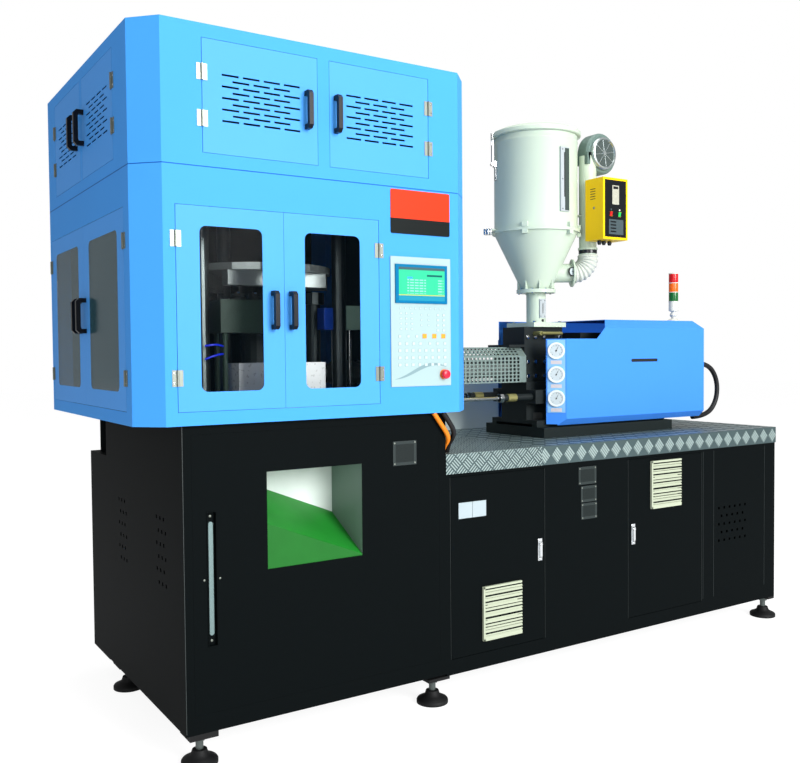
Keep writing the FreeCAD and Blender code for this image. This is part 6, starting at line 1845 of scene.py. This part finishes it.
@dataclass
class HopperDryer(Hopper):
    """The hopper with its blower, elbow and temperature box."""

    duct_reach: float = 0.304
    duct_levels: tuple = (2.215, 2.780)
    duct_radius: float = 0.050
    duct_bands: tuple = (
        (((0.0525, 0.006), (0.0525, 0.026)), 3), (((0.056, 0.028), (0.056, 0.040)), 4),
    )
    duct_stay: tuple = ((0.2383, -0.025, 2.435), (0.270, 0.025, 2.443))
    snail: tuple = (2.5803, 0.393, 2.797)
    snail_case: tuple = ((0.108, 0), (0.118, 0.012), (0.118, 0.078), (0.108, 0.090))
    snail_ring: tuple = (
        (0.092, 0.088), (0.092, 0.106), (0.088, 0.112), (0.080, 0.114), (0.077, 0.108),
    )
    snail_mesh: tuple = ((0.0772, 0.1000), (0.0772, 0.1085))
    snail_hub: tuple = ((0.014, 0.106), (0.012, 0.1125))
    snail_outlet: tuple = ((2.4633, 0.303, 2.730), (2.5583, 0.393, 2.797))
    spokes: int = 8
    spoke_turn: float = 10.0
    spoke: tuple = (0.012, 0.076, 0.1088, 0.0016)
    bend: float = 0.0887
    bend_start: float = 0.2153
    straight: float = 0.016
    elbow_radius: float = 0.054
    elbow_rib: float = 0.006
    elbow_ribs: int = 8
    elbow_sides: int = 40
    elbow_rings: int = 112
    box_left: float = 2.433
    box_front: float = 0.150
    box_levels: tuple = (2.284, 2.628)
    face_thick: float = 0.0008
    # Each sheet's left and right end, its two levels, its two distances out, and its finish.
    box_sheets: tuple = (
        (0.013, 0.179, 0.013, 0.128, 0.0008, 0, 0), (0.013, 0.179, 0.156, 0.331, 0.0008, 0, 0),
        (0.013, 0.050, 0.128, 0.156, 0.0008, 0, 0), (0.072, 0.116, 0.128, 0.156, 0.0008, 0, 0),
        (0.138, 0.179, 0.128, 0.156, 0.0008, 0, 0),
        (0.070, 0.122, 0.196, 0.302, 0.0020, 0.0008, 1),
        (0.077, 0.115, 0.282, 0.296, 0.0024, 0.0020, 0),
        (0.044, 0.156, 0.028, 0.112, 0.0016, 0.0008, 2),
        (0.056, 0.100, 0.040, 0.048, 0.0020, 0.0016, 0),
        (0.056, 0.100, 0.058, 0.066, 0.0020, 0.0016, 0),
        (0.056, 0.100, 0.076, 0.084, 0.0020, 0.0016, 0),
        (0.056, 0.100, 0.094, 0.102, 0.0020, 0.0016, 0),
    )
    box_lamps: tuple = ((0.061, 2), (0.127, 4))
    lamp_down: float = 0.178
    glands: tuple = (0.050, 0.085, 0.130)
    gland_back: float = 0.080
    slits: int = 5
    slit: tuple = (0.0006, 0.060, 0.100, 0.060, 0.056, 0.014)
    plug: tuple = (0.072, 0.165)

    def build(self) -> None:
        """Build every piece of the dryer."""
        super().build()
        self.blower()
        self.elbow()
        self.box()

    def blower(self) -> None:
        """Snail casing, its bright inlet and the duct down the barrel."""
        low, top = (self.around(self.duct_turn, self.duct_reach, level)
                    for level in self.duct_levels)
        form = Form(BLOWER_SHADED_PAINT, SATIN, LID_GLASS, HANDLE_BLACK, HOPPER_PAINT)
        form.rod(low, top, self.duct_radius, 44, 4)
        for band, mark in self.duct_bands:
            form.turn(band, low, sides=40, mark=mark)
        form.turn(self.snail_case, self.snail, FRONT, 64)
        form.turn(self.snail_ring, self.snail, FRONT, 64, 1)
        form.turn(self.snail_mesh, self.snail, FRONT, 48, 2)
        inner, outer, out, thin = self.spoke
        hub = Vector(self.snail) + Vector(FRONT) * out
        for right, up in arc((0, 0), 1, self.spoke_turn, 315, self.spokes - 1):
            ray = Vector((right, 0, up))
            form.rod(hub + ray * inner, hub + ray * outer, thin, 6, 1)
        form.turn(self.snail_hub, self.snail, FRONT, 24, 1)
        form.block(*self.snail_outlet)
        form.frame = self.turned(self.duct_turn)
        form.block(*self.duct_stay, 4)
        form.piece("blower_casing", self.unit, replaces=["blower"])

    def elbow(self) -> None:
        """Ribbed silicone elbow from the stub's disc up to the duct."""
        form = Form(SILICONE)
        form.frame = self.turned(self.duct_turn)
        bend, rings = self.bend, self.elbow_rings
        centre = Vector((self.bend_start, 0, self.stub_level + bend))
        quarter = bend * math.pi / 2
        spots = []
        for ring in range(rings + 1):
            along = (quarter + self.straight) * ring / rings
            angle = min(along / quarter, 1.0) * math.pi / 2
            lift = max(along - quarter, 0.0)
            wave = 0.5 - 0.5 * math.cos(2 * math.pi * ring / rings * self.elbow_ribs)
            radius = self.elbow_radius + self.elbow_rib * wave
            out = Vector((math.sin(angle), 0, -math.cos(angle)))
            middle = centre + out * bend + Vector(UP) * lift
            spots += [middle + out * radius * first + Vector(BACK) * radius * second
                      for first, second in circle(self.elbow_sides)]
        form.add(spots, walls(rings + 1, self.elbow_sides), 0)
        form.piece("ribbed_elbow", self.unit, replaces=["unit_hoses"])

    def box(self) -> None:
        """Yellow temperature box with what is on its face, under it and on its side."""
        dress(YELLOW_PAINT, "control_box")
        dress(SWITCH_RED, "red_switch")
        dress(SWITCH_GREEN, "green_switch")
        left, front = self.box_left, self.box_front
        low, high = self.box_levels
        form = Form(FASCIA_BLACK, DISPLAY_PALE, LABEL_GREY, SWITCH_RED, LAMP_CASE, HANDLE_BLACK)
        for start, end, down, up, near, far, mark in self.box_sheets:
            form.block((left + start, front - near, low + down),
                       (left + end, front - far, low + up), mark)
        for right, mark in self.box_lamps:
            form.heads(Head.FASCIA_LAMP,
                       [(left + right, front - self.face_thick, high - self.lamp_down)],
                       sides=16, mark=mark)
        form.heads(Head.CABLE_GLAND, [(left + right, front + self.gland_back, low)
                                      for right in self.glands], DOWN, 16, 5)
        form.piece("box_fascia", self.unit)
        self.box_side()

    def box_side(self) -> None:
        """Vent slits and a plug on the box's left side."""
        left, front, high = self.box_left, self.box_front, self.box_levels[1]
        form = Form(TICK_BLACK, HINGE_STEEL)
        rise, start, end, down, up, pitch = self.slit
        for index in range(self.slits):
            level = high - index * pitch
            form.block((left - rise, front + start, level - down),
                       (left, front + end, level - up))
        back, down = self.plug
        form.heads(Head.SIDE_PLUG, [(left, front + back, high - down)], LEFT, 16, 1)
        form.piece("box_slits", self.unit)


@dataclass
class StackLight:
    """Signal lamp on the cover, in place of the plain one."""

    at: tuple = (3.255, 0.360, 1.838)
    sides: int = 36
    stem: tuple = (
        (0.040, 0), (0.040, 0.006), (0.026, 0.014), (0.013, 0.018), (0.013, 0.026),
        (0.020, 0.032), (0.023, 0.040), (0.020, 0.048), (0.014, 0.054),
        (0.014, 0.060), (0.029, 0.066), (0.029, 0.122),
    )
    lamp_low: float = 0.126
    lamp_pitch: float = 0.058
    ring: tuple = ((0.030, -0.004), (0.030, 0))
    lamp: tuple = ((0.028, 0), (0.0285, 0.003), (0.0285, 0.051), (0.028, 0.054))
    cap: tuple = ((0.030, -0.004), (0.030, 0), (0.024, 0.003))

    def build(self) -> None:
        """Foot, ball, stem, case and three coloured lamps."""
        form = Form(LAMP_CASE, LAMP_GREEN, LAMP_AMBER, LAMP_RED)
        form.turn(self.stem, self.at, sides=self.sides)
        spot = Vector(self.at) + Vector(UP) * self.lamp_low
        for mark in (1, 2, 3):
            form.turn(self.ring, spot, sides=self.sides)
            form.turn(self.lamp, spot, sides=self.sides, mark=mark)
            spot += Vector(UP) * self.lamp_pitch
        form.turn(self.cap, spot, sides=self.sides)
        form.piece("signal_lamp", "injection_unit", replaces=["stack_light"])


# ---- hoses


@dataclass
class Hoses:
    """Smooth hoses along the routes of the plain ones, and the rear conduit."""

    orange: tuple = (
        (1.118, -0.076, 1.380), (1.152, -0.077, 1.334), (1.200, -0.075, 1.272),
        (1.216, -0.050, 1.240), (1.216, -0.018, 1.216), (1.216, -0.004, 1.180),
    )
    black: tuple = (
        (1.170, -0.076, 1.380), (1.200, -0.077, 1.340), (1.240, -0.070, 1.288),
        (1.250, -0.040, 1.252), (1.250, -0.006, 1.224), (1.250, 0.008, 1.180),
    )
    loop: tuple = (
        (3.358, 0.300, 1.577), (3.498, 0.300, 1.577), (3.598, 0.300, 1.477),
        (3.598, 0.300, 1.337), (3.498, 0.300, 1.237), (3.358, 0.300, 1.237),
    )
    orange_thick: float = 0.022
    black_thick: float = 0.024
    loop_thick: float = 0.030
    steps: int = 12
    order: int = 3
    flats: int = 5
    conduit: tuple = ((-0.015, 1.305, 1.160), (-0.015, 1.305, 1.380))
    conduit_radius: float = 0.024

    def build(self) -> None:
        """Lay the three hoses and the conduit."""
        self.lay("orange_hose", self.orange, self.orange_thick, HOSE_ORANGE, "frame",
                 "service_hoses")
        self.lay("black_hose", self.black, self.black_thick, HOSE_BLACK, "frame",
                 "service_hoses")
        self.lay("loop_hose", self.loop, self.loop_thick, HOSE_BLACK, "injection_unit",
                 "unit_hoses")
        conduit = Form(BASE_PAINT)
        conduit.rod(*self.conduit, self.conduit_radius, 24)
        conduit.piece("rear_conduit", "frame", replaces=["service_hoses"])

    def lay(self, name: str, route: Sequence[Point], thick: float, finish: Finish, body: str,
            node: str) -> None:
        """Lay one hose.

        Args:
            name: The piece's name.
            route: Its control points.
            thick: Its diameter.
            finish: Its finish.
            body: The body that it rides on.
            node: The CAD node that holds its plain solid.
        """
        curve = bpy.data.curves.new(name, "CURVE")
        curve.dimensions = "3D"
        curve.resolution_u = self.steps
        spline = curve.splines.new("NURBS")
        spline.points.add(len(route) - 1)
        for point, spot in zip(spline.points, route):
            point.co = (*spot, 1.0)
        spline.order_u = self.order
        spline.use_endpoint_u = True
        obj = bpy.data.objects.new(name, curve)
        bpy.context.scene.collection.objects.link(obj)
        long = self.length(obj)
        curve.bevel_depth = thick / 2
        curve.bevel_resolution = self.flats
        curve.use_fill_caps = True
        curve.materials.append(finish.material())
        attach(obj, body)
        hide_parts(node)
        log.info("hose %s: %.3f m", name, long)

    @staticmethod
    def length(obj: bpy.types.Object) -> float:
        """The length of a curve's own line."""
        mesh = bpy.data.meshes.new_from_object(
            obj.evaluated_get(bpy.context.evaluated_depsgraph_get())
        )
        spots = mesh.vertices
        return sum((spots[edge.vertices[0]].co - spots[edge.vertices[1]].co).length
                   for edge in mesh.edges)


# ---- studio


@dataclass
class Studio:
    """Pale floor, soft lamps and the camera at the photograph's angle."""

    place: tuple = (-1.259, -3.504, 1.6625)
    yaw: float = 32.619
    pitch: float = -1.876
    roll: float = -0.508
    focal_pixels: float = 905.0
    image_wide: float = 800.0
    sensor: float = 36.0
    ambient: float = 0.42
    far: float = 100.0
    floor_reach: float = 40.0
    floor_grey: float = 0.86
    floor_glow: float = 1.24
    glow_shares: tuple = (
        ("Is Camera Ray", 0.72), ("Is Glossy Ray", 0.3), ("Is Transmission Ray", 0.6),
    )
    lamps: tuple = (
        ("key", (3.2, -11.0, 5.2), (1.2, 0.2, 1.4), 6.0, 1900.0),
        ("fill", (-5.4, -7.6, 3.8), (1.6, 0.3, 1.8), 4.0, 190.0),
        ("top", (1.4, 0.2, 7.0), (1.4, 0.4, 1.0), 5.0, 220.0),
    )

    def build(self) -> None:
        """Set up floor, light and camera."""
        self.view_settings()
        self.floor()
        self.world()
        self.light()
        self.camera()

    def view_settings(self) -> None:
        """Show colours as they are written."""
        bpy.context.scene.view_settings.view_transform = "Standard"

    def floor(self) -> None:
        """White floor that keeps a soft shadow."""
        reach = self.floor_reach
        mesh = bpy.data.meshes.new("floor")
        mesh.from_pydata([(-reach, -reach, 0), (reach, -reach, 0), (reach, reach, 0),
                          (-reach, reach, 0)], [], [(0, 1, 2, 3)])
        obj = bpy.data.objects.new("floor", mesh)
        bpy.context.scene.collection.objects.link(obj)
        white = bpy.data.materials.new("floor_white")
        graph = Graph(white)
        graph.set(Base_Color=(*[self.floor_grey] * 3, 1.0), Roughness=0.9,
                  Specular_IOR_Level=0.0)
        glow = graph.add("ShaderNodeEmission", {},
                         {"Color": (1, 1, 1, 1), "Strength": self.floor_glow})
        camera, glossy, clear = (graph.add("ShaderNodeLightPath", {}, {}, ray) * share
                                 for ray, share in self.glow_shares)
        surface = graph.add(
            "ShaderNodeMixShader", {},
            {0: camera + glossy + clear, 1: Link(graph, graph.shader.outputs[0]), 2: glow},
        )
        graph.put(graph.tree.nodes["Material Output"].inputs["Surface"], surface)
        mesh.materials.append(white)

    def world(self) -> None:
        """Even soft light, and white where the camera looks past the object."""
        world = bpy.data.worlds.new("studio")
        bpy.context.scene.world = world
        graph = Graph(world)
        back = graph.tree.nodes["Background"]
        back.inputs["Color"].default_value = (1, 1, 1, 1)
        seen = graph.add("ShaderNodeLightPath", {}, {}, "Is Camera Ray")
        graph.put(back.inputs["Strength"], seen * (1.0 - self.ambient) + self.ambient)

    def light(self) -> None:
        """Large soft lamps."""
        for name, at, aim, size, power in self.lamps:
            data = bpy.data.lights.new(name, "AREA")
            data.shape = "DISK"
            data.size = size
            data.energy = power
            obj = bpy.data.objects.new(name, data)
            obj.location = at
            way = Vector(aim) - Vector(at)
            obj.rotation_euler = way.to_track_quat("-Z", "Y").to_euler()
            bpy.context.scene.collection.objects.link(obj)

    def camera(self) -> None:
        """The camera that the photograph was taken with."""
        yaw, pitch, roll = (math.radians(value) for value in (self.yaw, self.pitch, self.roll))
        ahead = Vector((math.sin(yaw) * math.cos(pitch), math.cos(yaw) * math.cos(pitch),
                        math.sin(pitch)))
        right = Vector((math.cos(yaw), -math.sin(yaw), 0.0))
        up = right.cross(ahead)
        level = right * math.cos(roll) + up * math.sin(roll)
        head = up * math.cos(roll) - right * math.sin(roll)
        turn = Matrix((level, head, -ahead)).transposed()
        data = bpy.data.cameras.new("camera")
        data.sensor_fit = "HORIZONTAL"
        data.sensor_width = self.sensor
        data.lens = self.focal_pixels * self.sensor / self.image_wide
        data.clip_end = self.far
        obj = bpy.data.objects.new("camera", data)
        obj.matrix_world = Matrix.Translation(Vector(self.place)) @ turn.to_4x4()
        bpy.context.scene.collection.objects.link(obj)
        bpy.context.scene.camera = obj


def main() -> None:
    """Build each part of the machine, then the studio."""
    logging.basicConfig(level=logging.INFO, format="%(message)s")
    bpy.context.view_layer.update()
    for part in (Cabinet(), OperatorPanel(), TowerBase(), LongBase(), Press(), InjectionUnit(),
                 HopperDryer(), StackLight(), Hoses(), Studio()):
        part.build()
        log.info("built %s", type(part).__name__)


if __name__ == "__main__":
    main()
